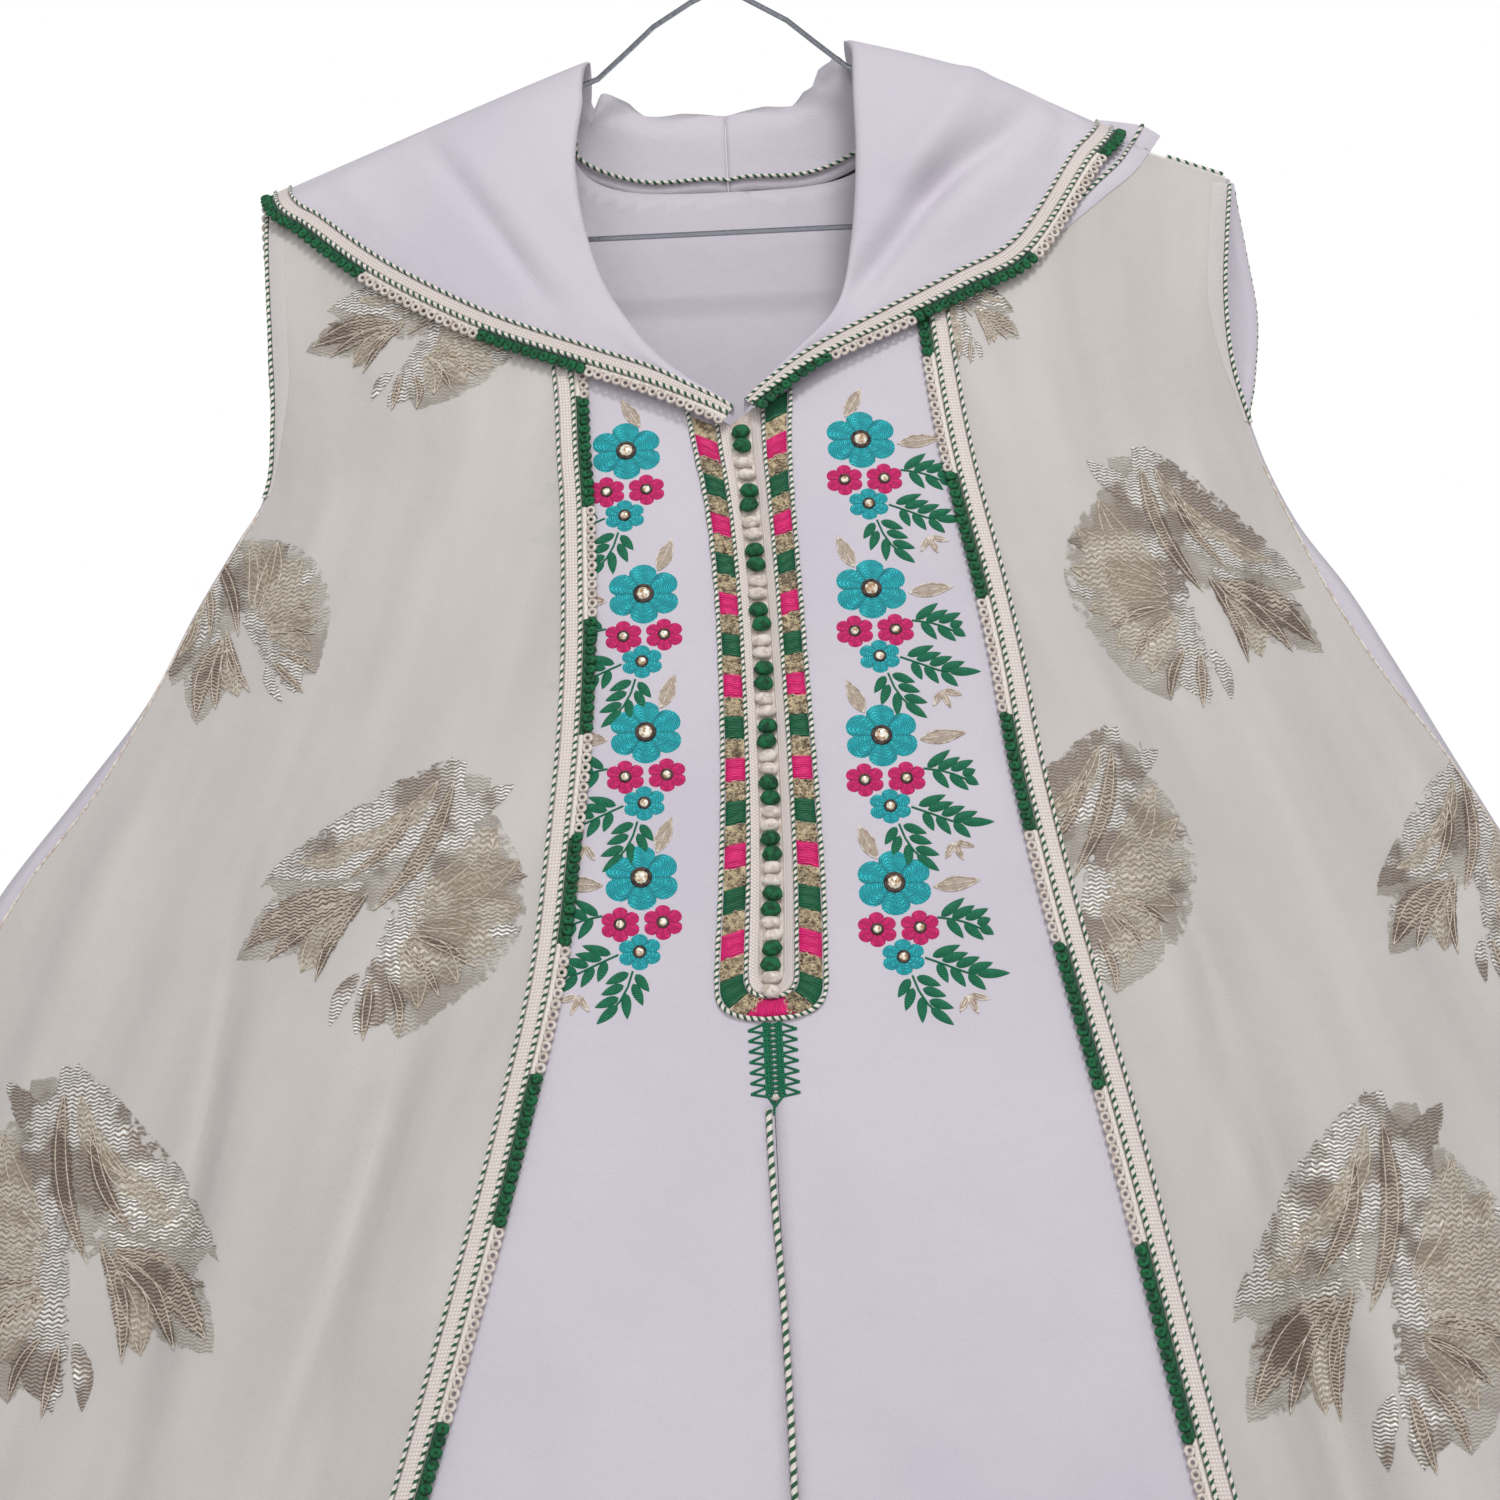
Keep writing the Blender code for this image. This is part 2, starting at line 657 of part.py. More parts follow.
def make_knots(looks, group):
    """Pairs of knots, one above the other on the centre line, green and cream in turn."""
    step = (KNOT_LAST - KNOT_FIRST) / (KNOT_PAIRS - 1)
    for number in range(KNOT_PAIRS):
        green = number % 2 == 0
        half_length = 6.4 if green else 6.1
        radius = 3.6 if green else 3.2
        name = "knots_%s_%02d" % ("green" if green else "cream", number // 2 + 1)
        drop = KNOT_FIRST + step * number
        foot = skin(0.0, drop, -1, CREPE + GAP + radius * KNOT_REACH)
        mesh = bpy.data.meshes.new(name)
        ball = bmesh.new()
        bmesh.ops.create_uvsphere(ball, u_segments=8, v_segments=7, radius=1.0)
        for vertex in ball.verts:
            waist = 1.0 - 0.45 * math.exp(-((vertex.co.z / 0.28) ** 2))
            wide = radius * waist / 1000.0
            vertex.co = (vertex.co.x * wide, vertex.co.y * wide,
                         vertex.co.z * half_length / 1000.0)
        ball.to_mesh(mesh)
        ball.free()
        mesh.shade_smooth()
        item = bpy.data.objects.new(name, mesh)
        item.location = to_metres(foot)
        keep(item, looks["green" if green else "edging"], group)


# cords

SHOULDER_CORD_RISE = 2.5     # its centre line above the shoulder line, in the groove of the seam


def make_cords(looks, group):
    low_drops = [drop for drop in LOW_ROWS if 620 < drop < HEM]
    drops = np.array([602.0] + low_drops + [HEM - 8.0])
    tube("center_cord", skin(np.zeros(len(drops)), drops, -1, CREPE + 0.5 + 1.1), 1.1,
         looks["cord"], group)
    along = np.linspace(226, 252, 5)
    above = [(x, 0.0, float(ridge(x)) - SHOULDER_CORD_RISE) for x in along]
    tube("shoulder_cord_right", above, 1.1, looks["cord"], group)


def make_neck_cord(looks, group):
    """The cord over the neck seam, on the inner side of the hood's stand."""
    places = np.array([2.3, 3, 3.7, 4.4, 5.1, 5.6, 6, 6.4, 6.9, 7.5, 8.2, 9.0, 9.95])
    path = []
    for side, table, order in ((1, HOOD_RIGHT, 1), (-1, HOOD_LEFT, -1)):
        rows = np.array([hood_controls(row, side) for row in table])
        sections = smooth_rows(rows, places)
        half = []
        for section in sections:
            seam = over_ridge(side * section[0][0], section[0][1], section[0][2])
            stand = over_ridge(side * section[1][0], section[1][1], section[1][2])
            rise = (stand - seam) / np.linalg.norm(stand - seam)
            x = side * section[0][0]
            inward = over_ridge(x, section[0][1], 0.0) - over_ridge(x, section[0][1], 1.0)
            half.append(seam + rise * 7.0 + inward * 2.4)
        path += half if order > 0 else half[::-1]
    tube("neck_cord", path, 1.0, looks["cord"], group)


# the hanger

def arm_path(side):
    """From the neck out to the rounded end and back in along the bar."""
    points = [(15, 7), (35, 20.5), (50, 35.5), (ARM_START, ARM_DROP)]
    for x in (90, 120, 150, 180, 198):
        points.append((x, ARM_DROP + (x - ARM_START) * ARM_SLOPE))
    points += [(205, 110.5), (210, 116.5), (211.5, 124), (208, 132.5), (200, 139.5),
               (190, 142.5)]
    return [(side * x, 0.0, drop) for x, drop in points]


def make_hanger(looks, group):
    path = []
    ring = 19.0 + WIRE
    centre = -HOOK_RISE - WIRE + ring
    for step in range(15):
        angle = math.radians(200 - step * 230 / 14)
        path.append((ring * math.cos(angle), 0.0, centre - ring * math.sin(angle)))
    path += [(12.5, 0.0, -37.5), (5.0, 0.0, -31.0), (1.0, 0.0, -26.0), (0.0, 0.0, -20.0)]
    path += [(0.0, 0.0, -4.0), (-1.6, 0.0, -0.6), (-6.0, 0.0, 2.4)]
    path += arm_path(-1)
    path += arm_path(1)[::-1]
    path += [(7.5, 0.0, 2.2), (4.2, 0.0, -1.0), (3.3, 0.0, -5.0)]
    coil = 2 * WIRE + GAP + 0.15
    turns = 3
    for step in range(1, turns * 8 + 1):
        angle = 2 * math.pi * step / 8
        rise = 5.0 + step * (2 * WIRE + 0.5) / 8
        path.append((coil * math.cos(angle), coil * math.sin(angle), -rise))
    tube("hanger", path, WIRE, looks["wire"], group)


def main():
    clear_scene()
    group = bpy.data.collections.new("kaftan_on_hanger")
    bpy.context.scene.collection.children.link(group)
    looks = {
        "crepe": material("lilac_crepe", (0.62, 0.56, 0.64), 0.75),
        "sheer": material("ivory_sheer", (0.63, 0.60, 0.55), 0.6),
        "braid": material("cream_braid", (0.60, 0.52, 0.46), 0.7),
        "edging": material("cream_edging", (0.62, 0.53, 0.47), 0.7),
        "band": material("woven_band", (0.42, 0.30, 0.26), 0.6),
        "green": material("green_thread", (0.01, 0.13, 0.05), 0.6),
        "cord": material("dashed_cord", (0.35, 0.42, 0.33), 0.7),
        "wire": material("hanger_wire", (0.35, 0.36, 0.40), 0.35, 1.0),
    }
    make_dress(looks, group)
    make_overdress(looks, group)
    make_long_braids(looks, group)
    make_hood(looks, group)
    make_placket(looks, group)
    make_knots(looks, group)
    make_cords(looks, group)
    make_neck_cord(looks, group)
    make_hanger(looks, group)


main()
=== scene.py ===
"""Looks of a hooded, sleeveless kaftan with a sheer brocade overdress, on a plain wire hanger.

The front faces -Y and +X is to the viewer's right. Tables are in millimetres. A "drop" is the
distance below the hanger's neck, and z = -(HOOK_RISE + drop).
"""
import math

import bpy
import numpy as np
from mathutils import Matrix, Vector


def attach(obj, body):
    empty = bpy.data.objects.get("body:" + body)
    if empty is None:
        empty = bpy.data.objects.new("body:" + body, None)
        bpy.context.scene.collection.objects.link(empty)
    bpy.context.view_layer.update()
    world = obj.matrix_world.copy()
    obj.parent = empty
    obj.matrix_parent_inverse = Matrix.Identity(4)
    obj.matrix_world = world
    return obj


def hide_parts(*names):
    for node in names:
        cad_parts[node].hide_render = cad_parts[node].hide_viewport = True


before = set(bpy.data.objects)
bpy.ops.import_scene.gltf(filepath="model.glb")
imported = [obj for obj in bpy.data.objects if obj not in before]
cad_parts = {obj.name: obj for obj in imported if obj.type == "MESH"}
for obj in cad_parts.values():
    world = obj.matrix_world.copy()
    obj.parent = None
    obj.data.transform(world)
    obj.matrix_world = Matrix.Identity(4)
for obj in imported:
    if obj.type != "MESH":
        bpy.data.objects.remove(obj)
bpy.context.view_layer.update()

bpy.ops.object.select_all(action="DESELECT")

HOOK_RISE = 72.0       # from the inner top of the hook down to the hanger's neck
CREPE = 1.5            # the lilac cloth fills this much above its inner face
SHEER_AT = 2.3         # height of the sheer cloth above the same face
TRIM_AT = 3.1          # foot of what is sewn on the sheer cloth
GAP = 0.3              # left free between pieces
HEM = 1480.0
NECK_TOP = 54.0        # drop of both ends of the back neckline, and its dip between them
BACK_DIP = 48.0
NECK_HALF = 83.0
ARM_START = 65.0       # where the hanger's straight arms start, with their drop and slope
ARM_DROP = 50.0
ARM_SLOPE = 0.423
SEAT = 3.3             # from the middle of the arm up to the cloth
LENS_POWER = 2.6       # how full the dress stays towards its sides
RIDGE_REACH = 18.0     # how soon it fills out below the shoulder line
SLOPE_STEP = 0.5
BRAID_HALF = 5.2

# the drops at which both sides of the dress are measured, and there, per side:
# front edge, back edge, braid line, and how far the sheer stops short of the side
#  drop  front  back  full   braid  inset
RIGHT = (
    (60, 262, 262, 292, 100, 2.5),
    (121, 257, 258, 288, 100, 2.5),
    (160, 250, 262, 282, 99, 2.5),
    (200, 245, 264, 272, 99, 2.5),
    (236, 246, 258, 260, 101, 2.5),
    (262, 252, 252, 252, 103, 2.5),
    (290, 259, 259, 259, 106, 2.5),
    (318, 270, 270, 270, 110, 4),
    (350, 289, 289, 289, 115, 12),
    (390, 308, 308, 308, 120, 12),
    (439, 330, 330, 330, 124, 4),
    (500, 358, 358, 358, 132, 3),
    (600, 400, 400, 400, 149, 3),
    (800, 466, 466, 466, 180, 3),
    (1000, 511, 511, 511, 222, 3),
    (1250, 549, 549, 549, 270, 3),
    (1480, 574, 574, 574, 310, 3),
)
LEFT = (
    (60, 240, 240, 290, 98, 2.5),
    (121, 236, 237, 284, 98, 2.5),
    (160, 234, 238, 276, 95, 2.5),
    (200, 232, 237, 264, 89, 2.5),
    (240, 231, 234, 248, 84, 2.5),
    (277, 236, 236, 236, 83, 2.5),
    (300, 249, 249, 249, 82, 2.5),
    (332, 267, 267, 267, 82, 2.5),
    (382, 292, 292, 292, 83, 2.5),
    (426, 324, 324, 324, 86, 11),
    (470, 357, 357, 357, 91, 12),
    (530, 388, 388, 388, 99, 12),
    (600, 416, 416, 416, 116, 12),
    (800, 474, 474, 474, 174, 12),
    (1000, 514, 514, 514, 230, 12),
    (1250, 553, 553, 553, 292, 12),
    (1480, 578, 578, 578, 342, 12),
)
FRONT_EDGE, BACK_EDGE, FULL, BRAID, INSET = 1, 2, 3, 4, 5
SIDES = ((-1, "left", LEFT), (1, "right", RIGHT))
FACES = ((-1, "front", FRONT_EDGE), (1, "back", BACK_EDGE))

# how far the middle of the front and of the back stand from the hanger's plane
#  drop  front  back
DEPTHS = (
    (40, 23, 26),
    (120, 28, 32),
    (250, 36, 38),
    (450, 52, 50),
    (700, 74, 68),
    (950, 93, 84),
    (1200, 110, 98),
    (1480, 124, 110),
)

# neckline of the front: drop, x on the left, x on the right
NECKLINE = (
    (54, 84, 82),
    (95, 85, 80),
    (127, 85, 77),
    (160, 82, 73),
    (180, 77, 67),
    (200, 70, 55),
    (220, 57, 41),
    (240, 38, 23),
    (256, 20, 9),
    (268, 2, 1),
)

# soft folds: x and drop where one starts, x at the hem, half width and depth at the hem
FRONT_FOLDS = (
    (-197, 320, -440, 30, 44),
    (-262, 560, -525, 22, 12),
    (-150, 460, -330, 30, 26),
    (-100, 700, -215, 26, 20),
    (-30, 760, -95, 30, 22),
    (45, 720, 60, 28, 20),
    (120, 640, 185, 28, 22),
    (160, 310, 340, 32, 38),
    (205, 480, 300, 26, 18),
    (275, 520, 500, 26, 18),
)
BACK_FOLDS = (
    (-210, 380, -450, 32, 26),
    (-140, 460, -330, 32, 28),
    (-60, 520, -190, 30, 26),
    (0, 600, -45, 28, 20),
    (60, 480, 110, 32, 28),
    (130, 420, 260, 32, 26),
    (190, 360, 390, 32, 28),
    (250, 460, 490, 26, 16),
)

# small creases of the front: x and drop at both ends, half width and height
CREASES = (
    (217, 116, 230, 200, 6, 2.8),
    (-250, 300, -262, 420, 9, 2.2),
    (-222, 350, -214, 395, 5, 1.0),
    (130, 300, 172, 470, 12, 2.0),
    (-205, 180, -214, 330, 10, 1.8),
    (-150, 250, -170, 420, 16, 1.6),
    (210, 210, 236, 330, 12, 2.2),
    (-12, 580, -40, 860, 18, 1.6),
    (40, 600, 58, 840, 16, 1.4),
    (-236, 430, -264, 660, 11, -11.0),
    (-262, 385, -254, 450, 6, -2.0),
    (-144, 525, -236, 770, 13, -11.0),
    (156, 392, 216, 550, 9, 4.5),
    (172, 500, 216, 700, 10, 5.5),
    (197, 520, 190, 650, 9, -3.5),
    (250, 760, 300, 1000, 18, -4.0),
)


# measures of the dress

def read(table, column, drop):
    """A column of a table at any drop, by a smooth curve through its rows."""
    rows = np.array(table, dtype=float)
    at = rows[:, 0]
    value = rows[:, column]
    slope = np.gradient(value, at)
    drop = np.clip(drop, at[0], at[-1])
    i = np.clip(np.searchsorted(at, drop) - 1, 0, len(at) - 2)
    span = at[i + 1] - at[i]
    t = (drop - at[i]) / span
    start = (1 + 2 * t) * (1 - t) ** 2 * value[i] + t * (1 - t) ** 2 * span * slope[i]
    end = t * t * (3 - 2 * t) * value[i + 1] + t * t * (t - 1) * span * slope[i + 1]
    return start + end


def side_value(column, x, drop):
    return np.where(x < 0, read(LEFT, column, drop), read(RIGHT, column, drop))


def ridge(x):
    """Drop of the shoulder line, just above the hanger's arm."""
    reach = np.sqrt(np.square(x) + 100.0)
    return ARM_DROP - SEAT + (reach - ARM_START) * ARM_SLOPE


def fold_depth(folds, x, drop):
    total = np.zeros(np.broadcast(x, drop).shape)
    for start_x, start_drop, hem_x, width, depth in folds:
        way = np.clip((drop - start_drop) / (HEM - start_drop), 0.0, 1.0)
        centre = start_x + (hem_x - start_x) * way
        spread = width * (0.45 + 0.55 * way)
        grown = 1.0 - np.exp(-2.2 * way)
        total = total + depth * grown * np.exp(-np.square((x - centre) / spread))
    return total


def beside(x, drop, start_x, start_drop, end_x, end_drop):
    """Share of the way along a straight crease, and the distance beside it."""
    run = np.array([end_x - start_x, end_drop - start_drop], dtype=float)
    length = np.hypot(*run)
    run = run / length
    share = ((x - start_x) * run[0] + (drop - start_drop) * run[1]) / length
    return share, (x - start_x) * run[1] - (drop - start_drop) * run[0]


def crease_height(x, drop):
    total = np.zeros(np.broadcast(x, drop).shape)
    for *ends, width, height in CREASES:
        share, off = beside(x, drop, *ends)
        across = off / width
        body = np.exp(-np.square(across)) - 0.5 * np.exp(-np.square(across - 1.6))
        total = total + height * body * np.exp(-((share - 0.5) / 0.42) ** 4)
    return total


def stand_off(x, drop, face):
    """How far the inner face of the dress lies from the hanger's plane. Face is -1 or +1."""
    full = side_value(FULL, x, drop)
    back = side_value(BACK_EDGE, x, drop) - side_value(FRONT_EDGE, x, drop)
    full = full + np.where(face > 0, back, 0.0)
    lens = np.clip(1.0 - (np.abs(x) / full) ** LENS_POWER, 0.0, 1.0)
    below = np.maximum(drop - ridge(x), 0.0)
    filled = 1.0 - np.exp(-below / RIDGE_REACH)
    bulk = np.where(face < 0, read(DEPTHS, 1, drop), read(DEPTHS, 2, drop))
    front = fold_depth(FRONT_FOLDS, x, drop) - crease_height(x, drop)
    folds = np.where(face < 0, front, fold_depth(BACK_FOLDS, x, drop))
    return GAP / 2 + lens * filled * (bulk - folds * np.sqrt(lens))


def unit(vectors):
    length = np.linalg.norm(vectors, axis=-1, keepdims=True)
    return vectors / np.maximum(length, 1e-9)


def skin(x, drop, face, out=0.0, normals=False):
    """A point of the dress, moved out from its inner face, as x, y and drop."""
    x, drop, face = np.broadcast_arrays(*(np.asarray(v, dtype=float) for v in (x, drop, face)))
    inward = np.where(x < 0, SLOPE_STEP, -SLOPE_STEP)
    here = stand_off(x, drop, face)
    across = (stand_off(x + inward, drop, face) - here) / inward
    down = (stand_off(x, drop + SLOPE_STEP, face) - here) / SLOPE_STEP
    normal = unit(np.stack([-across, face, -down], axis=-1))
    point = np.stack([x, face * here, drop], axis=-1) + normal * np.asarray(out)[..., None]
    return (point, normal) if normals else point


def to_metres(points):
    moved = np.array(points, dtype=float)
    moved[..., 2] = -(HOOK_RISE + moved[..., 2])
    return moved / 1000.0


def along(path):
    """Distance from the start at each point of a path."""
    steps = np.linalg.norm(np.diff(path, axis=0), axis=-1)
    return np.concatenate([[0.0], np.cumsum(steps)])


def read_along(way, values, wanted):
    """Values given along a line, read at the wanted distances."""
    return np.stack([np.interp(wanted, way, values[:, k]) for k in range(3)], axis=-1)


def read_path(path, wanted):
    return read_along(along(path), path, wanted)


# making pieces

def grid_piece(name, points, look, facing=None, uv=None, wall=0.0, gone=None, tube=False):
    """A smooth sheet through a grid of points in millimetres, rows by columns. Its UVs are
    metres along the cloth unless they are given. Gone marks cells that are cut away."""
    points = np.asarray(points, dtype=float)
    rows, columns = points.shape[:2]
    if uv is None:
        across = np.linalg.norm(np.diff(points, axis=1), axis=-1)
        downwards = np.linalg.norm(np.diff(points, axis=0), axis=-1)
        u = np.concatenate([np.zeros((rows, 1)), np.cumsum(across, axis=1)], axis=1)
        u -= u[:, columns // 2, None]
        v = np.concatenate([np.zeros((1, columns)), np.cumsum(downwards, axis=0)], axis=0)
        uv = np.stack([u, v], axis=-1) / 1000.0
    if facing is not None:
        turn = np.cross(points[1:, 1:] - points[:-1, :-1], points[:-1, 1:] - points[1:, :-1])
        if np.sum(turn * np.asarray(facing, dtype=float)) > 0:
            points = points[:, ::-1]
            uv = uv[:, ::-1]
            gone = None if gone is None else gone[:, ::-1]
    bpy.ops.mesh.primitive_grid_add(x_subdivisions=columns - 1, y_subdivisions=rows - 1, size=2.0)
    piece = bpy.context.object
    piece.name = name
    mesh = piece.data
    mesh.name = name
    mesh.vertices.foreach_set("co", to_metres(points).ravel())
    corners = np.empty(len(mesh.loops), dtype=int)
    mesh.loops.foreach_get("vertex_index", corners)
    mesh.uv_layers.active.data.foreach_set("uv", uv.reshape(-1, 2)[corners].ravel())
    if gone is not None and gone.any():
        cut_cells(mesh, gone)
    if tube:
        merge(piece)
    return dress_up(piece, look, wall)


def cut_cells(mesh, gone):
    """Deletes the marked cells of a grid, which are its faces in row order."""
    bpy.ops.object.mode_set(mode="EDIT")
    bpy.ops.mesh.select_mode(type="FACE")
    bpy.ops.mesh.select_all(action="DESELECT")
    bpy.ops.object.mode_set(mode="OBJECT")
    mesh.polygons.foreach_set("select", gone.ravel())
    bpy.ops.object.mode_set(mode="EDIT")
    bpy.ops.mesh.delete(type="FACE")
    bpy.ops.object.mode_set(mode="OBJECT")


def merge(piece):
    bpy.ops.object.mode_set(mode="EDIT")
    bpy.ops.mesh.select_all(action="SELECT")
    bpy.ops.mesh.remove_doubles(threshold=0.000002)
    bpy.ops.mesh.normals_make_consistent(inside=False)
    bpy.ops.object.mode_set(mode="OBJECT")


def dress_up(piece, look, wall=0.0):
    """Gives a new piece its material, smooth shading, wall and place on the frame."""
    piece.data.materials.clear()
    piece.data.materials.append(look)
    piece.data.shade_smooth()
    if wall:
        solid = piece.modifiers.new("wall", "SOLIDIFY")
        solid.thickness = wall / 1000.0
        solid.offset = 0.0
    piece.select_set(False)
    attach(piece, "root")
    return piece


# materials

def simple(name, colour, roughness=0.7, metallic=0.0, sheen=0.0):
    made = bpy.data.materials.new(name)
    made.use_nodes = True
    shader = made.node_tree.nodes["Principled BSDF"]
    shader.inputs["Base Color"].default_value = (*colour, 1.0)
    shader.inputs["Roughness"].default_value = roughness
    shader.inputs["Metallic"].default_value = metallic
    shader.inputs["Sheen Weight"].default_value = sheen
    return made


def node(look, kind, inputs, **settings):
    """A new node. Each input is a number, a colour or another node's output."""
    made = look.node_tree.nodes.new("ShaderNode" + kind)
    for key, value in settings.items():
        setattr(made, key, value)
    for key, value in inputs.items():
        if isinstance(value, bpy.types.NodeSocket):
            look.node_tree.links.new(value, made.inputs[key])
        else:
            made.inputs[key].default_value = value
    return made


def shade(look, socket, value):
    look.node_tree.links.new(value, look.node_tree.nodes["Principled BSDF"].inputs[socket])


def spots(look, place, scale, detail=2.0, distortion=0.0):
    """Cloudy values from 0 to 1. Scale is clouds per metre."""
    made = node(look, "TexNoise", {"Vector": place, "Scale": scale, "Detail": detail,
                                   "Distortion": distortion})
    return made.outputs["Fac"]


def math_of(look, operation, first, second=0.0, third=0.0):
    inputs = {0: first, 1: second, 2: third}
    return node(look, "Math", inputs, operation=operation).outputs[0]


def waves(look, value, pitch, shift=0.0):
    """From 0 to 1 and back once in each pitch, in metres."""
    rising = math_of(look, "SINE",
                     math_of(look, "MULTIPLY_ADD", value, 2 * math.pi / pitch, shift))
    return node(look, "MapRange", {"Value": rising, "From Min": -1.0}).outputs[0]


def blend(look, share, low, high):
    """A colour between two, by a value from 0 to 1."""
    low, high = ((*tone, 1.0) if isinstance(tone, tuple) else tone for tone in (low, high))
    return node(look, "Mix", {"Factor": share, 6: low, 7: high}, data_type="RGBA").outputs[2]


def range_of(look, value, low, high, to_low=0.0, to_high=1.0):
    made = node(look, "MapRange", {"Value": value, "From Min": low, "From Max": high,
                                   "To Min": to_low, "To Max": to_high})
    return made.outputs[0]


def relief(look, height, metres, normal=None):
    inputs = {"Height": height, "Distance": metres, "Strength": 1.0}
    if normal is not None:
        inputs["Normal"] = normal
    return node(look, "Bump", inputs).outputs["Normal"]


def place_on(look, kind):
    return node(look, "TexCoord", {}).outputs[kind]


def parts_of(look, place):
    return node(look, "SeparateXYZ", {0: place}).outputs


def cloth_grain(look, place):
    """The fine pebbled grain of crepe, on soft dents."""
    soft = relief(look, spots(look, place, 45.0, 2.0), 0.0012)
    shade(look, "Normal", relief(look, spots(look, place, 900.0, 1.0), 0.00016, soft))


def crepe_look(name, light, dark):
    """Matt crepe with slow drifts of tone."""
    look = simple(name, light, 0.82, sheen=0.25)
    place = place_on(look, "Object")
    drift = range_of(look, spots(look, place, 9.0, 3.0), 0.35, 0.65)
    shade(look, "Base Color", blend(look, drift, dark, light))
    cloth_grain(look, place)
    return look


def sheer_look(name, light, dark):
    """Thin cloth through which the layer below shows a little."""
    look = simple(name, light, 0.82, sheen=0.25)
    cloth_grain(look, place_on(look, "Object"))
    place = place_on(look, "UV")
    across, along_cloth, _ = parts_of(look, place)
    stretched = node(look, "Mapping", {"Vector": place, "Scale": (1.0, 0.14, 1.0)})
    streak = range_of(look, spots(look, stretched.outputs[0], 26.0, 2.0), 0.3, 0.7)
    shade(look, "Base Color", blend(look, streak, dark, light))
    weave = math_of(look, "MULTIPLY", waves(look, across, 0.0011), waves(look, along_cloth, 0.0011))
    drift = range_of(look, spots(look, place, 14.0, 2.0), 0.3, 0.7, 0.74, 0.80)
    shade(look, "Alpha", math_of(look, "MULTIPLY_ADD", weave, 0.10, drift))
    return look


def thread_look(name, light, dark, pitch=0.0009, sheen=0.06):
    """Laid threads side by side, across the first UV direction, with painted shade in the grooves
    between them.
    """
    look = simple(name, light, 0.55, sheen=sheen)
    place = place_on(look, "UV")
    sway = math_of(look, "MULTIPLY", spots(look, place, 260.0, 1.0), 9.0)
    thread = waves(look, parts_of(look, place)[0], pitch, sway)
    worn = math_of(look, "MULTIPLY", spots(look, place, 120.0, 2.0), 0.5)
    share = math_of(look, "MULTIPLY_ADD", thread, 0.75, worn)
    # painted shade: the colour darkens between the threads along the bump's wave; the worn spots
    # add random tone
    shade(look, "Base Color", blend(look, share, dark, light))
    shade(look, "Normal", relief(look, thread, 0.0005))
    return look


def yarn_look(name, light, dark, sheen=0.3):
    """Crocheted yarn, with fine fibres and random darker patches that are painted shade for its
    hollows.
    """
    look = simple(name, light, 0.75, sheen=sheen)
    place = place_on(look, "Object")
    fibre = spots(look, place, 1500.0, 2.0, 1.5)
    tone = range_of(look, spots(look, place, 420.0, 2.0), 0.35, 0.6)
    # painted shade: random darker patches stand in for the shade in the yarn's hollows
    shade(look, "Base Color", blend(look, tone, dark, light))
    shade(look, "Normal", relief(look, fibre, 0.0004))
    return look


def cord_look(name, green, cream):
    """Two twisted strands: the first UV direction counts turns round the cord."""
    look = simple(name, cream, 0.6, sheen=0.2)
    turns = parts_of(look, place_on(look, "UV"))[0]
    share = math_of(look, "FRACT", math_of(look, "ADD", turns, 0.22))
    is_green = math_of(look, "LESS_THAN", share, 0.44)
    fibre = spots(look, place_on(look, "Object"), 1300.0, 2.0, 1.0)
    fibre_shade = range_of(look, fibre, 0.3, 0.7)
    # painted shade: each strand's colour darkens where the fibre bump is low
    colour = blend(look, is_green, blend(look, fibre_shade, (0.66, 0.58, 0.51), cream),
                   blend(look, fibre_shade, (0.0, 0.04, 0.015), green))
    shade(look, "Base Color", colour)
    shade(look, "Normal", relief(look, fibre, 0.0003))
    return look


def braid_look(name, light, dark):
    """Ribs of small chain stitches along a braid, with painted shade in the hollows between the
    stitches.
    """
    look = simple(name, light, 0.65, sheen=0.3)
    place = place_on(look, "UV")
    across, along_braid, _ = parts_of(look, place)
    stitch = waves(look, along_braid, 0.0016, spots(look, place, 500.0))
    rib = waves(look, across, 0.0016)
    knot = math_of(look, "MULTIPLY", stitch, rib)
    # painted shade: the colour darkens between stitches and ribs, where the bump is low
    shade(look, "Base Color", blend(look, range_of(look, knot, 0.0, 0.5), dark, light))
    shade(look, "Normal", relief(look, knot, 0.0003))
    return look


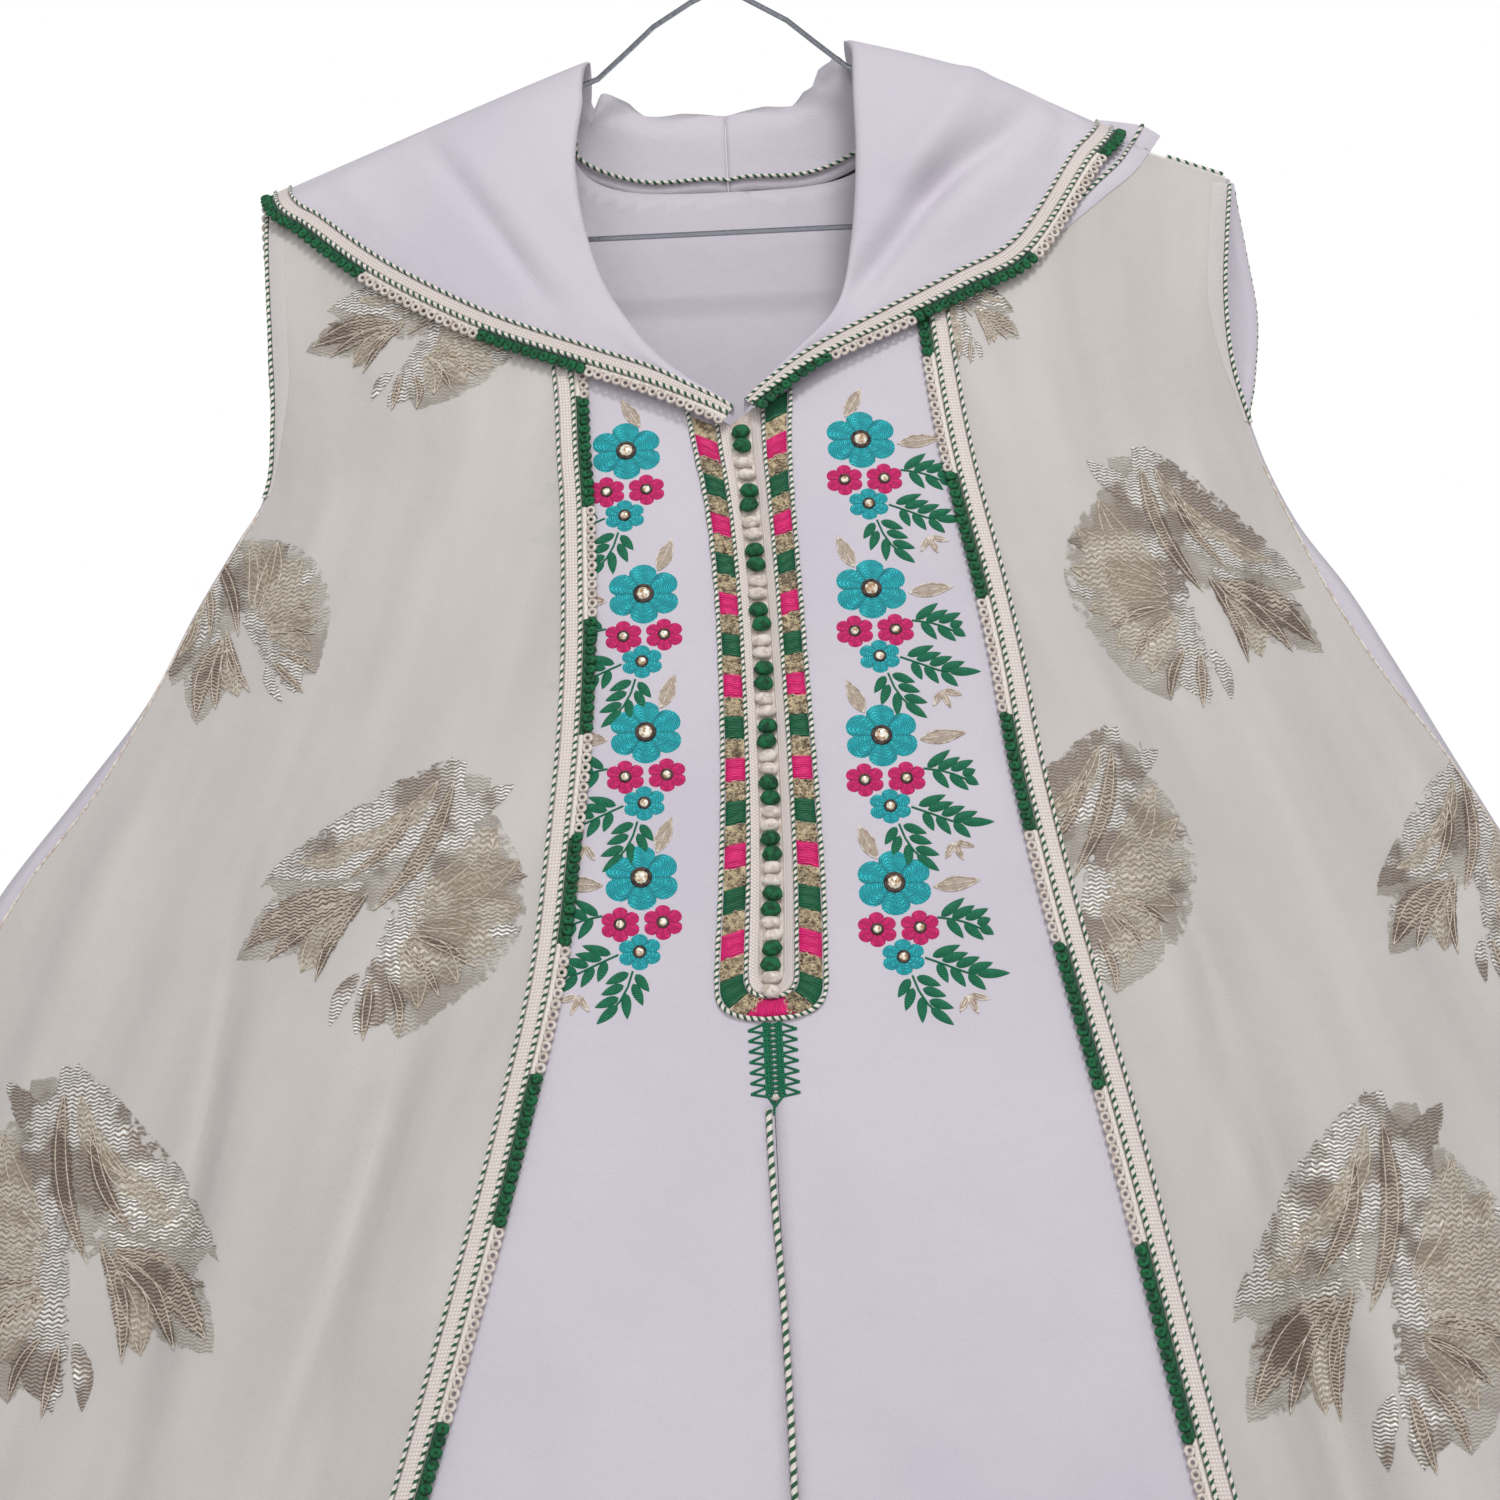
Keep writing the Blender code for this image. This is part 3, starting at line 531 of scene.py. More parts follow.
def brocade_look(name, light, dark, pitch, shine, cover=1.0):
    """Metal weft floats in fine wavy lines, ragged at the edges of each petal, with broad bright
    patches painted as reflections of the metal. The second UV direction is one centimetre from a
    petal's middle to its edge."""
    look = simple(name, light, 0.32, shine)
    place = place_on(look, "Object")
    x, _, height = parts_of(look, place)
    ripple = math_of(look, "SINE", math_of(look, "MULTIPLY", x, 1500.0))
    ripple = math_of(look, "MULTIPLY", ripple, 1.3)
    drift = math_of(look, "MULTIPLY_ADD", spots(look, place, 42.0, 2.0), 34.0, ripple)
    line = waves(look, height, pitch, drift)
    # painted reflection: broad bright patches of the metal foil, standing in for its highlights
    painted_glint = range_of(look, spots(look, place, 40.0, 2.0), 0.42, 0.52, 0.3, 1.0)
    broken = range_of(look, spots(look, place, 800.0, 2.0), 0.35, 0.5, 0.55, 1.0)
    share = math_of(look, "MULTIPLY", range_of(look, line, 0.05, 0.5), painted_glint)
    share = math_of(look, "MULTIPLY", share, broken)
    shade(look, "Base Color", blend(look, share, dark, light))
    shade(look, "Normal", relief(look, line, 0.0006))
    across = math_of(look, "ABSOLUTE", parts_of(look, place_on(look, "UV"))[1])
    ragged = range_of(look, spots(look, place, 260.0, 3.0), 0.3, 0.7, 0.75, 1.3)
    inward = math_of(look, "MULTIPLY_ADD", across, -100.0, ragged)
    shade(look, "Alpha", range_of(look, inward, 0.0, 0.22, 0.0, cover))
    return look


def gem_look(name, colour):
    look = simple(name, colour, 0.06)
    tone = range_of(look, spots(look, place_on(look, "Object"), 500.0, 1.0), 0.4, 0.6)
    shade(look, "Base Color", blend(look, tone, colour, (0.9, 0.86, 0.72)))
    look.node_tree.nodes["Principled BSDF"].inputs["Coat Weight"].default_value = 1.0
    return look


def wire_look(name, colour):
    look = simple(name, colour, 0.32, 1.0)
    streak = spots(look, place_on(look, "Object"), 300.0, 3.0, 2.0)
    shade(look, "Roughness", range_of(look, streak, 0.3, 0.7, 0.22, 0.48))
    shade(look, "Normal", relief(look, streak, 0.0001))
    return look


CREPE_LOOK = crepe_look("lilac_crepe", (0.585, 0.546, 0.60), (0.548, 0.510, 0.575))
SHEER_LOOK = sheer_look("ivory_sheer", (0.685, 0.642, 0.598), (0.575, 0.537, 0.503))
HEM_LOOK = sheer_look("ivory_hem", (0.70, 0.66, 0.63), (0.64, 0.60, 0.575))
BRAID_LOOK = braid_look("cream_braid", (0.84, 0.79, 0.74), (0.62, 0.52, 0.49))
CREAM_LOOK = yarn_look("cream_yarn", (0.82, 0.75, 0.68), (0.58, 0.47, 0.40))
GREEN_LOOK = yarn_look("green_yarn", (0.002, 0.145, 0.045), (0.0005, 0.04, 0.014), 0.03)
CORD_LOOK = cord_look("green_and_cream_cord", (0.004, 0.12, 0.045), (0.88, 0.83, 0.77))
WIRE_LOOK = wire_look("drawn_wire", (0.35, 0.36, 0.40))
PINK_LOOK = thread_look("pink_thread", (0.95, 0.014, 0.21), (0.52, 0.003, 0.12), 0.0011)
LEAF_LOOK = thread_look("leaf_green_thread", (0.003, 0.28, 0.125), (0.0005, 0.05, 0.03))
TEAL_LOOK = thread_look("teal_thread", (0.015, 0.60, 0.62), (0.001, 0.17, 0.27), 0.0014)
BEIGE_LOOK = thread_look("beige_thread", (0.80, 0.68, 0.57), (0.42, 0.30, 0.22), 0.0008)
EDGE_LOOK = yarn_look("pale_gold_yarn", (0.84, 0.76, 0.67), (0.46, 0.35, 0.26), 0.1)
BLOCK_LOOK = thread_look("green_satin_stitch", (0.002, 0.16, 0.06), (0.0005, 0.05, 0.02), 0.0011)
GOLD_LOOK = yarn_look("gold_glitter_thread", (0.66, 0.53, 0.33), (0.16, 0.11, 0.06))
RIM_LOOK = yarn_look("dark_rim", (0.09, 0.06, 0.05), (0.02, 0.012, 0.01), 0.0)
GEM_LOOK = gem_look("amber_rhinestone", (0.42, 0.25, 0.12))
SILVER_LOOK = brocade_look("silver_brocade", (1.0, 0.99, 0.95), (0.22, 0.155, 0.11), 0.0017, 0.3)
BROWN_LOOK = brocade_look("brown_brocade", (0.86, 0.80, 0.68), (0.40, 0.32, 0.235), 0.0024, 0.15,
                          0.62)
DARK_LOOK = brocade_look("dark_brocade", (0.60, 0.51, 0.42), (0.12, 0.085, 0.065), 0.0017, 0.15)
LINE_LOOK = yarn_look("brocade_outline", (0.68, 0.60, 0.50), (0.40, 0.32, 0.24), 0.05)
PALE_LOOK = brocade_look("pale_brocade", (0.82, 0.77, 0.68), (0.42, 0.36, 0.29), 0.0016, 0.1, 0.5)


# the cloth of the dress

CREPE_WALL = 1.1


def note_cut(points, gone=None):
    """Works out the area of a sheet's cells, less those cut away; the result is not kept."""
    area = np.linalg.norm(np.cross(points[1:, 1:] - points[:-1, :-1],
                                   points[:-1, 1:] - points[1:, :-1]), axis=-1) / 2
    if gone is not None:
        area = area[~gone]


# where the rows of cells lie, as shares of the length, closer together in the upper half
ROWS = np.concatenate([np.arange(0, 700, 6.5), np.arange(700, 1420, 14), [1420]]) / 1420.0


def fan(inner, outer, shares):
    """A grid between two edges that are functions of the drop, as x and drop."""
    shares = np.asarray(shares, dtype=float)
    tops = np.full(len(shares), 60.0)
    for _ in range(6):
        x = inner(tops) + (outer(tops) - inner(tops)) * shares
        tops = ridge(x)
    drop = tops + (HEM - tops) * ROWS[:, None]
    x = inner(drop) + (outer(drop) - inner(drop)) * shares
    return x, drop


def in_front_neck(x, drop):
    half = np.where(x < 0, read(NECKLINE, 1, drop), read(NECKLINE, 2, drop))
    return (np.abs(x) < half) & (drop < NECKLINE[-1][0])


def in_back_neck(x, drop):
    share = np.clip(np.abs(x) / NECK_HALF, 0.0, 1.0)
    return (drop < NECK_TOP + BACK_DIP * (1.0 - share ** 4) ** 0.25) & (np.abs(x) < NECK_HALF)


def neck_cells(x, drop, inside):
    """Cells of a grid whose middle lies in the neckline."""
    middle_x = (x[1:, 1:] + x[:-1, :-1]) / 2
    middle_drop = (drop[1:, 1:] + drop[:-1, :-1]) / 2
    return inside(middle_x, middle_drop)


def snap_to_neck(x, drop, gone, line):
    """Moves the grid points on the cut onto the neckline, a list of x and drop."""
    cut = np.pad(gone, 1)
    kept = np.pad(~gone, 1)
    by_cut = cut[1:, 1:] | cut[1:, :-1] | cut[:-1, 1:] | cut[:-1, :-1]
    by_kept = kept[1:, 1:] | kept[1:, :-1] | kept[:-1, 1:] | kept[:-1, :-1]
    for row, column in np.argwhere(by_cut & by_kept):
        away = np.hypot(line[:, 0] - x[row, column], line[:, 1] - drop[row, column])
        x[row, column], drop[row, column] = line[np.argmin(away)]


def front_neck_line():
    drops = np.linspace(NECKLINE[0][0], NECKLINE[-1][0], 500)
    left = np.stack([-read(NECKLINE, 1, drops), drops], axis=-1)
    right = np.stack([read(NECKLINE, 2, drops), drops], axis=-1)
    return np.concatenate([left, right[::-1]])


def back_neck_line():
    share = np.sin(np.linspace(-math.pi / 2, math.pi / 2, 500))
    drops = NECK_TOP + BACK_DIP * (1.0 - np.abs(share) ** 4) ** 0.25
    return np.stack([share * NECK_HALF, drops], axis=-1)


def cloth_sheet(name, solid, edges, columns, face, out, look, wall=0.0, neck=None):
    """A sheet of cloth between two edges, cut out at the neckline where one is given."""
    x, drop = fan(*edges, np.linspace(0, 1, columns))
    gone = None
    if neck is not None:
        inside, line = neck
        gone = neck_cells(x, drop, inside)
        snap_to_neck(x, drop, gone, line)
    points = skin(x, drop, face, out)
    piece = grid_piece(name, points, look, (0, face, 0), wall=wall, gone=gone)
    note_cut(points, gone)
    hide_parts(solid)


def make_dress():
    front_neck = (in_front_neck, front_neck_line())
    for side, word, table in SIDES:
        edges = (lambda d: side * GAP / 2 + 0 * d, lambda d: side * read(table, FRONT_EDGE, d))
        cloth_sheet("dress_front_" + word, "front_" + word, edges, 58, -1, CREPE / 2,
                    CREPE_LOOK, CREPE_WALL, front_neck)
    edges = (lambda d: -read(LEFT, BACK_EDGE, d), lambda d: read(RIGHT, BACK_EDGE, d))
    cloth_sheet("dress_back", "back", edges, 96, 1, CREPE / 2, CREPE_LOOK, CREPE_WALL,
                (in_back_neck, back_neck_line()))


def make_overdress():
    for side, word, table in SIDES:
        edges = (lambda d: side * (read(table, BRAID, d) - BRAID_HALF),
                 lambda d: side * (read(table, FRONT_EDGE, d) - read(table, INSET, d)))
        cloth_sheet("sheer_front_" + word, "overdress_" + word, edges, 50, -1, SHEER_AT,
                    SHEER_LOOK)
    edges = (lambda d: -read(LEFT, BACK_EDGE, d) + read(LEFT, INSET, d),
             lambda d: read(RIGHT, BACK_EDGE, d) - read(RIGHT, INSET, d))
    cloth_sheet("sheer_back", "overdress_back", edges, 100, 1, SHEER_AT, SHEER_LOOK,
                neck=(in_back_neck, back_neck_line()))


# the hood, laid open over the shoulders

# each row goes from the neck seam to the free edge. Face is -1 on the front, 0 along the
# shoulder line and 1 on the back. Seam: x, drop. Stand, the fold where it turns over: x, drop,
# and the radius of the fold. Mid and edge: x, drop, lift above the dress.
#  face  seam       stand          mid             edge
HOOD_LEFT = (
    (-1, (2, 264), (2.5, 261, 1.6), (4, 260, 7), (6, 265, 8)),
    (-1, (33, 244), (31, 241, 2.4), (36, 241, 8.5), (41, 246, 8)),
    (-1, (56, 220), (52, 217, 3.0), (64, 219, 9.5), (78, 229, 6.6)),
    (-1, (76, 181), (71, 178, 3.6), (97, 185, 12), (126, 206, 6.8)),
    (-1, (85, 127), (80, 126, 4.0), (124, 138, 14), (176, 172, 6.2)),
    (-1, (85, 84), (76, 86, 3.4), (140, 104, 12), (212, 139, 6)),
    (0, (84, 0), (75, 0, 2.4), (150, 0, 10), (233, 0, 9)),
    (1, (84, 76), (73, 68, 3.4), (146, 120, 11), (224, 170, 6)),
    (1, (78, 90), (64, 66, 4.5), (112, 170, 14), (172, 262, 6)),
    (1, (44, 101), (34, 70, 5.5), (60, 200, 18), (92, 345, 7)),
    (1, (0, 102), (0, 68, 6.0), (0, 210, 20), (0, 395, 8)),
)
HOOD_RIGHT = (
    (-1, (2, 261), (2.5, 258, 1.6), (4, 256, 7), (6, 260, 8)),
    (-1, (24, 240), (25, 236, 2.4), (33, 234, 8.5), (39, 236, 8)),
    (-1, (45, 216), (48, 212, 3.4), (64, 208, 10), (80, 215, 6.6)),
    (-1, (66, 182), (62, 178, 4.2), (86, 176, 13), (115, 197, 6.8)),
    (-1, (77, 130), (68, 130, 4.4), (104, 140, 17), (146, 178, 6.6)),
    (-1, (80, 88), (70, 86, 4.4), (126, 98, 18), (181, 126, 7)),
    (0, (82, 0), (71, 0, 4.4), (136, 0, 17), (199, 0, 9)),
    (1, (82, 76), (71, 62, 4.6), (136, 118, 15), (197, 158, 6)),
    (1, (76, 88), (62, 60, 5.0), (110, 170, 15), (170, 255, 6)),
    (1, (44, 100), (34, 68, 5.5), (60, 200, 18), (92, 345, 7)),
    (1, (0, 102), (0, 68, 6.0), (0, 210, 20), (0, 395, 8)),
)
SHEER = 1.0            # room that the sheer cloth takes under the hood
HOOD_SEAT = CREPE + GAP + SHEER + GAP + CREPE / 2 + GAP / 2
TURN_REACH = 22.0      # over this way down from the shoulder line a lift turns from up to outward
CREASE_START = 12.0    # the creases of the flaps begin this far below the shoulder line
HOOD_STATIONS = np.unique(np.concatenate([np.linspace(0, 10, 131), np.linspace(5.2, 6.8, 41)]))


def over_ridge(x, around, lift):
    """A point lifted off the dress, where around is the way down from the shoulder line."""
    face = np.where(around < 0, -1.0, 1.0)
    drop = ridge(x) + np.abs(around)
    foot, normal = skin(x, drop, face, 0.0, normals=True)
    share = np.minimum(np.abs(around) / TURN_REACH, 1.0)[..., None]
    share = share * share * (3.0 - 2.0 * share)
    away = unit(normal * share + np.array([0.0, 0.0, -1.0]) * (1.0 - share))
    return foot + away * np.asarray(lift)[..., None]


def hood_controls(row):
    """Six points from seam to edge as x, way down from the shoulder line, and lift."""
    face, seam, stand, mid, edge = row

    def around(x, drop):
        return face * max(drop - float(ridge(x)), 0.0)

    seam_at = np.array([seam[0], around(*seam)])
    stand_at = np.array([stand[0], around(stand[0], stand[1])])
    rise = stand_at - seam_at
    rise = rise / max(np.linalg.norm(rise), 1.0)
    radius = stand[2]
    low = HOOD_SEAT
    top_at = stand_at + rise * radius
    return np.array([
        (*seam_at, low),
        (*stand_at, low + 1.0),
        (*top_at, low + 1.0 + radius),
        (*stand_at, low + 1.0 + 2 * radius),
        (mid[0], around(mid[0], mid[1]), mid[2]),
        (edge[0], around(edge[0], edge[1]), edge[2]),
    ])


def smooth_rows(values, places):
    """A smooth curve through values at whole numbers, read at any places."""
    values = np.asarray(values, dtype=float)
    slope = np.gradient(values, axis=0)
    i = np.clip(np.floor(places).astype(int), 0, len(values) - 2)
    t = np.asarray(places) - i
    t = t.reshape(t.shape + (1,) * (values.ndim - 1))
    start = (1 + 2 * t) * (1 - t) ** 2 * values[i] + t * (1 - t) ** 2 * slope[i]
    end = t * t * (3 - 2 * t) * values[i + 1] + t * t * (t - 1) * slope[i + 1]
    return start + end


def hood_sections(table, side):
    """Fine lines across the hood, each from its neck seam to its free edge."""
    rows = np.array([hood_controls(row) for row in table])
    lines = []
    for section in smooth_rows(rows, HOOD_STATIONS):
        dense = smooth_rows(section, np.linspace(0, 5, 91))
        x = side * np.maximum(dense[:, 0], GAP / 2)
        lines.append(over_ridge(x, dense[:, 1], dense[:, 2] + hood_crease(x, dense[:, 1])))
    return lines


# soft creases of the hood's front flaps: x and drop at both ends, half width and height
HOOD_CREASES = (
    (-151, 98, -90, 198, 5.0, -3.4),
    (-137, 96, -80, 190, 9.0, 1.8),
    (-196, 112, -170, 150, 9.0, 1.6),
    (-86, 150, -56, 206, 8.0, -3.0),
    (150, 104, 90, 152, 8.0, -9.0),
    (110, 134, 52, 208, 8.0, -9.0),
    (126, 84, 84, 146, 9.0, 4.5),
    (150, 128, 96, 176, 12.0, 2.5),
    (172, 96, 162, 136, 7.0, -2.4),
)


def hood_crease(x, around):
    drop = ridge(x) + np.abs(around)
    total = np.zeros(x.shape)
    for *ends, width, height in HOOD_CREASES:
        share, off = beside(x, drop, *ends)
        body = np.exp(-np.square(off / width))
        total = total + height * body * np.exp(-((share - 0.5) / 0.5) ** 4)
    return np.where(around < -CREASE_START, total, 0.0)


def across_hood(lines, shares):
    """Grid of the hood, stations by shares of the way from its seam to its edge."""
    return np.array([read_path(line, shares * along(line)[-1]) for line in lines])


def near_edge(lines, back):
    """One line along the hood, back millimetres from its free edge, less where it is narrow."""
    path = []
    for line in lines:
        length = along(line)[-1]
        path.append(read_path(line, length - min(back, length * 0.45)))
    return np.array(path)


def make_hood():
    shares = np.concatenate([np.linspace(0, 0.3, 20)[:-1], np.linspace(0.3, 1, 28)])
    for side, word, table in ((-1, "left", HOOD_LEFT), (1, "right", HOOD_RIGHT)):
        lines = hood_sections(table, side)
        points = across_hood(lines, shares)
        piece = grid_piece("hood_cloth_" + word, points, CREPE_LOOK, wall=1.0)
        note_cut(points)
        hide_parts("hood_" + word)
        make_hood_trim(word, side, lines)


def neck_seam(side, table, places):
    """The cord over the neck seam, on the inner side of the hood's stand, and its outward way."""
    rows = np.array([hood_controls(row) for row in table])
    path, up = [], []
    for section in smooth_rows(rows, places):
        x = side * max(section[0][0], GAP / 2)
        seam = over_ridge(x, section[0][1], section[0][2])
        stand = over_ridge(side * max(section[1][0], GAP / 2), section[1][1], section[1][2])
        inward = over_ridge(x, section[0][1], 0.0) - over_ridge(x, section[0][1], 1.0)
        path.append(seam + unit(stand - seam) * 7.0 + inward * 2.4)
        up.append(inward)
    return path, up


def make_neck_cord():
    places = np.linspace(1.2, 9.97, 110)
    right, right_up = neck_seam(1, HOOD_RIGHT, places)
    left, left_up = neck_seam(-1, HOOD_LEFT, places)
    path = np.array(right + left[::-1])
    up = unit(np.array(right_up + left_up[::-1]))
    cord = cord_piece("neck_seam_cord", path, up, 1.25, 4.1)
    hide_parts("neck_cord")


# trims: every braid is a thin dashed cord, a ribbed band, a bolder dashed cord and an edging

RING_PITCH = 4.8
FOOT_STITCH = 2.1
FOOT_WIDTH = 2.4


def cord_piece(name, path, up, radius, pitch, step=1.4, sides=8, look=None):
    """A cord of two twisted strands, green and cream. Up points away from the cloth."""
    way = along(path)
    at = np.linspace(0.0, way[-1], max(int(way[-1] / step), 4) + 1)
    line = read_along(way, path, at)
    lift = read_along(way, up, at)
    ahead = unit(np.gradient(line, axis=0))
    over = unit(np.cross(ahead, lift))
    lift = np.cross(over, ahead)
    turn = np.linspace(0.0, 2 * math.pi, sides + 1)
    twist = 2 * math.pi * at / pitch
    lobe = np.cos(2 * (turn - twist[:, None]))
    thick = (radius * (0.86 + 0.14 * lobe))[..., None]
    points = line[:, None] + thick * (over[:, None] * np.cos(turn)[:, None]
                                      + lift[:, None] * np.sin(turn)[:, None])
    uv = np.stack([(turn - twist[:, None]) / (2 * math.pi),
                   np.broadcast_to(at[:, None] / 1000.0, lobe.shape)], axis=-1)
    piece = grid_piece(name, points, look or CORD_LOOK, uv=uv, tube=True)
    return piece


def band_piece(name, inner, outer, up, thick, ribs, look):
    """A flat band with lengthwise ribs between two lines of points."""
    share = np.linspace(0.0, 1.0, 4 * ribs + 1)
    rib = 0.55 + 0.45 * np.abs(np.sin(math.pi * ribs * share))
    edge = np.minimum(1.0, 12.0 * np.minimum(share, 1.0 - share))
    height = thick * rib * edge
    points = (inner[:, None] * (1 - share)[:, None] + outer[:, None] * share[:, None]
              + up[:, None] * height[:, None])
    return grid_piece(name, points, look, up.mean(axis=0))


def shape_of(add, **sizes):
    """Points and faces of a primitive, for copies."""
    add(**sizes)
    item = bpy.context.object
    points = np.array([v.co for v in item.data.vertices])
    faces = [tuple(p.vertices) for p in item.data.polygons]
    bpy.data.objects.remove(item, do_unlink=True)
    return points, faces


def copies(name, shape, places, axes, look):
    """One piece of many copies of a shape. Axes are where its x, y and z point, in mm."""
    points, faces = shape
    moved = np.asarray(places)[:, None] + np.einsum("vk,mkj->mvj", points, np.asarray(axes))
    count = len(points)
    every = [tuple(c + count * m for c in face) for m in range(len(places)) for face in faces]
    mesh = bpy.data.meshes.new(name)
    mesh.from_pydata(to_metres(moved.reshape(-1, 3)).tolist(), [], every)
    piece = bpy.data.objects.new(name, mesh)
    bpy.context.scene.collection.objects.link(piece)
    return dress_up(piece, look)


RING = shape_of(bpy.ops.mesh.primitive_torus_add, major_segments=10, minor_segments=4,
                major_radius=1.75, minor_radius=0.92)
TUFT = shape_of(bpy.ops.mesh.primitive_torus_add, major_segments=8, minor_segments=5,
                major_radius=1.35, minor_radius=1.2)
LOOP = shape_of(bpy.ops.mesh.primitive_torus_add, major_segments=8, minor_segments=3,
                major_radius=1.62, minor_radius=0.62)


def make_edging(name, path, away, up, green):
    """Crocheted edging along a path: a stitched foot, then cream rings or green tufts.
    Green says, for distances along the path, where the thread is green."""
    way = along(path)
    at = np.arange(0.0, way[-1], FOOT_STITCH / 2)
    foot = read_along(way, path, at)
    out = unit(read_along(way, away, at))
    lift = unit(read_along(way, up, at))
    share = np.linspace(0.0, 1.0, 5)
    bump = 0.75 + 0.25 * np.cos(2 * math.pi * at / FOOT_STITCH)
    height = bump[:, None] * np.array([0.0, 0.9, 0.7, 0.9, 0.0])
    points = (foot[:, None] + out[:, None] * (FOOT_WIDTH * share)[:, None]
              + lift[:, None] * height[..., None])
    colour = np.where(green(at), 0.0, 0.5)[:, None] * np.ones(5)
    uv = np.stack([colour, at[:, None] / 1000.0 * np.ones(5)], axis=-1)
    grid_piece(name + "_foot", points, CORD_LOOK, lift.mean(axis=0), uv=uv)
    at = np.arange(RING_PITCH / 2, way[-1] - 1.0, RING_PITCH)
    place = read_along(way, path, at)
    out = unit(read_along(way, away, at))
    lift = unit(read_along(way, up, at))
    ahead = np.cross(out, lift)
    tilt = 0.25 * np.sin(at * 12.9)[:, None]
    axes = np.stack([unit(ahead + out * tilt), unit(out - ahead * tilt + lift * 0.12), lift],
                    axis=1)
    is_green = green(at)
    for word, slot, chosen, shape, look, reach, rise, size in (
            ("rings", "edging", ~is_green, RING, CREAM_LOOK, 4.3, 0.7, (1.0, 1.0, 1.0)),
            ("tufts", "green_thread", is_green, TUFT, GREEN_LOOK, 3.9, 1.2, (1.0, 1.2, 1.15))):
        if chosen.any():
            spot = place + out * reach + lift * rise
            sized = axes * np.array(size)[:, None]
            copies(name + "_" + word, shape, spot[chosen], sized[chosen], look)


def make_braid(word, edging_side, cloth_side, up, green):
    """A whole braid from its line beside the edging to its line on the cloth."""
    def between(share, lift):
        return edging_side * (1 - share) + cloth_side * share + up * lift

    band = band_piece("braid_band_" + word, between(0.22, 0.1), between(0.80, 0.1), up, 0.9, 4,
                      BRAID_LOOK)
    cord_piece("braid_cord_" + word, between(0.12, 1.15), up, 1.2, 3.7)
    cord_piece("braid_thin_cord_" + word, between(0.90, 0.9), up, 0.95, 4.3)
    away = unit(edging_side - cloth_side)
    make_edging("edging_" + word, edging_side, away, up, green)
    return band


def green_between(ranges):
    """Says whether values lie in any of the ranges."""
    def test(values):
        values = np.asarray(values)
        return np.any([(values >= a) & (values < b) for a, b in ranges], axis=0)
    return test


# drops between which the edging of the long braids is green
GREEN_LEFT = ((246, 306), (364, 421), (470, 519), (576, 640), (718, 784), (850, 920),
              (985, 1055), (1125, 1195), (1265, 1335), (1405, 1490))
GREEN_RIGHT = ((190, 232), (297, 361), (420, 476), (530, 593), (659, 739), (806, 872),
               (940, 1010), (1080, 1150), (1220, 1290), (1360, 1430))
BRAID_TOP = 196.0


def make_long_braids():
    for (side, word, table), ranges in zip(SIDES, (GREEN_LEFT, GREEN_RIGHT)):
        drops = np.arange(BRAID_TOP, HEM, 3.0)
        middle = read(table, BRAID, drops)
        near = skin(side * (middle - BRAID_HALF), drops, -1, TRIM_AT - 0.4)
        far, up = skin(side * (middle + BRAID_HALF), drops, -1, TRIM_AT - 0.4, normals=True)
        way = along(near)
        is_green = green_between(ranges)
        band = make_braid(word, near, far, up,
                          lambda at: is_green(np.interp(at, way, near[:, 2])))
        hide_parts("braid_" + word, "edging_" + word)


# distance from the centre line between which the hood's edging is green
HOOD_GREEN_LEFT = ((72, 124), (181, 250))
HOOD_GREEN_RIGHT = ((0, 39), (83, 146), (186, 230))
BACK_GREEN = ((40, 100), (160, 215))


def make_hood_trim(word, side, lines):
    edge = near_edge(lines, 0.0)
    width = near_edge(lines, 2 * BRAID_HALF)
    grid = across_hood(lines, np.linspace(0.0, 1.0, 30))
    turn = np.cross(grid[1:-1, -1] - grid[1:-1, -4], grid[2:, -1] - grid[:-2, -1])
    up = unit(np.concatenate([turn[:1], turn, turn[-1:]]) * side)
    if up[3, 1] > 0:
        up = -up
    way = along(edge)
    front = HOOD_GREEN_LEFT if side < 0 else HOOD_GREEN_RIGHT
    on_front, on_back = green_between(front), green_between(BACK_GREEN)
    over = int(np.argmax(edge[:, 1] > 0.0))

    def green(at):
        x = np.abs(np.interp(at, way, edge[:, 0]))
        return np.where(at < way[over], on_front(x), on_back(x))

    lifted = up * 0.6
    band = make_braid("hood_" + word, edge + lifted, width + lifted, up, green)
    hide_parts("hood_braid_" + word, "hood_edging_" + word)


# the facing that shows beyond the right tip of the hood: x and drop under the hood's edge, of
# the cord along it, and of its outer side
FACING = (
    ((192, 90), (214, 95), (223, 101)),
    ((188, 108), (208, 105), (216, 111)),
    ((177, 127), (198, 122), (205, 128)),
    ((166, 142), (184, 137), (189, 143)),
    ((153, 156), (167, 155), (171, 159)),
    ((142, 168), (153, 169), (156, 172)),
)


def make_facing():
    rows = smooth_rows(np.array(FACING), np.linspace(0.0, 5.0, 40))
    share = np.linspace(0.0, 2.0, 9)
    flat = np.stack([[np.interp(share, (0.0, 1.0, 2.0), row[:, k]) for row in rows]
                     for k in range(2)], axis=-1)
    dome = np.sin(math.pi * share / 2.0) ** 0.5
    points = skin(flat[..., 0], flat[..., 1], -1, SHEER_AT + 0.3 + 1.3 * dome)
    cloth = grid_piece("hood_facing", points, CREPE_LOOK, (0, -1, 0))
    path, up = skin(rows[:, 1, 0], rows[:, 1, 1], -1, SHEER_AT + 2.4, normals=True)
    cord_piece("hood_facing_cord", path, up, 1.1, 4.6)


# small sheets that lie on the cloth

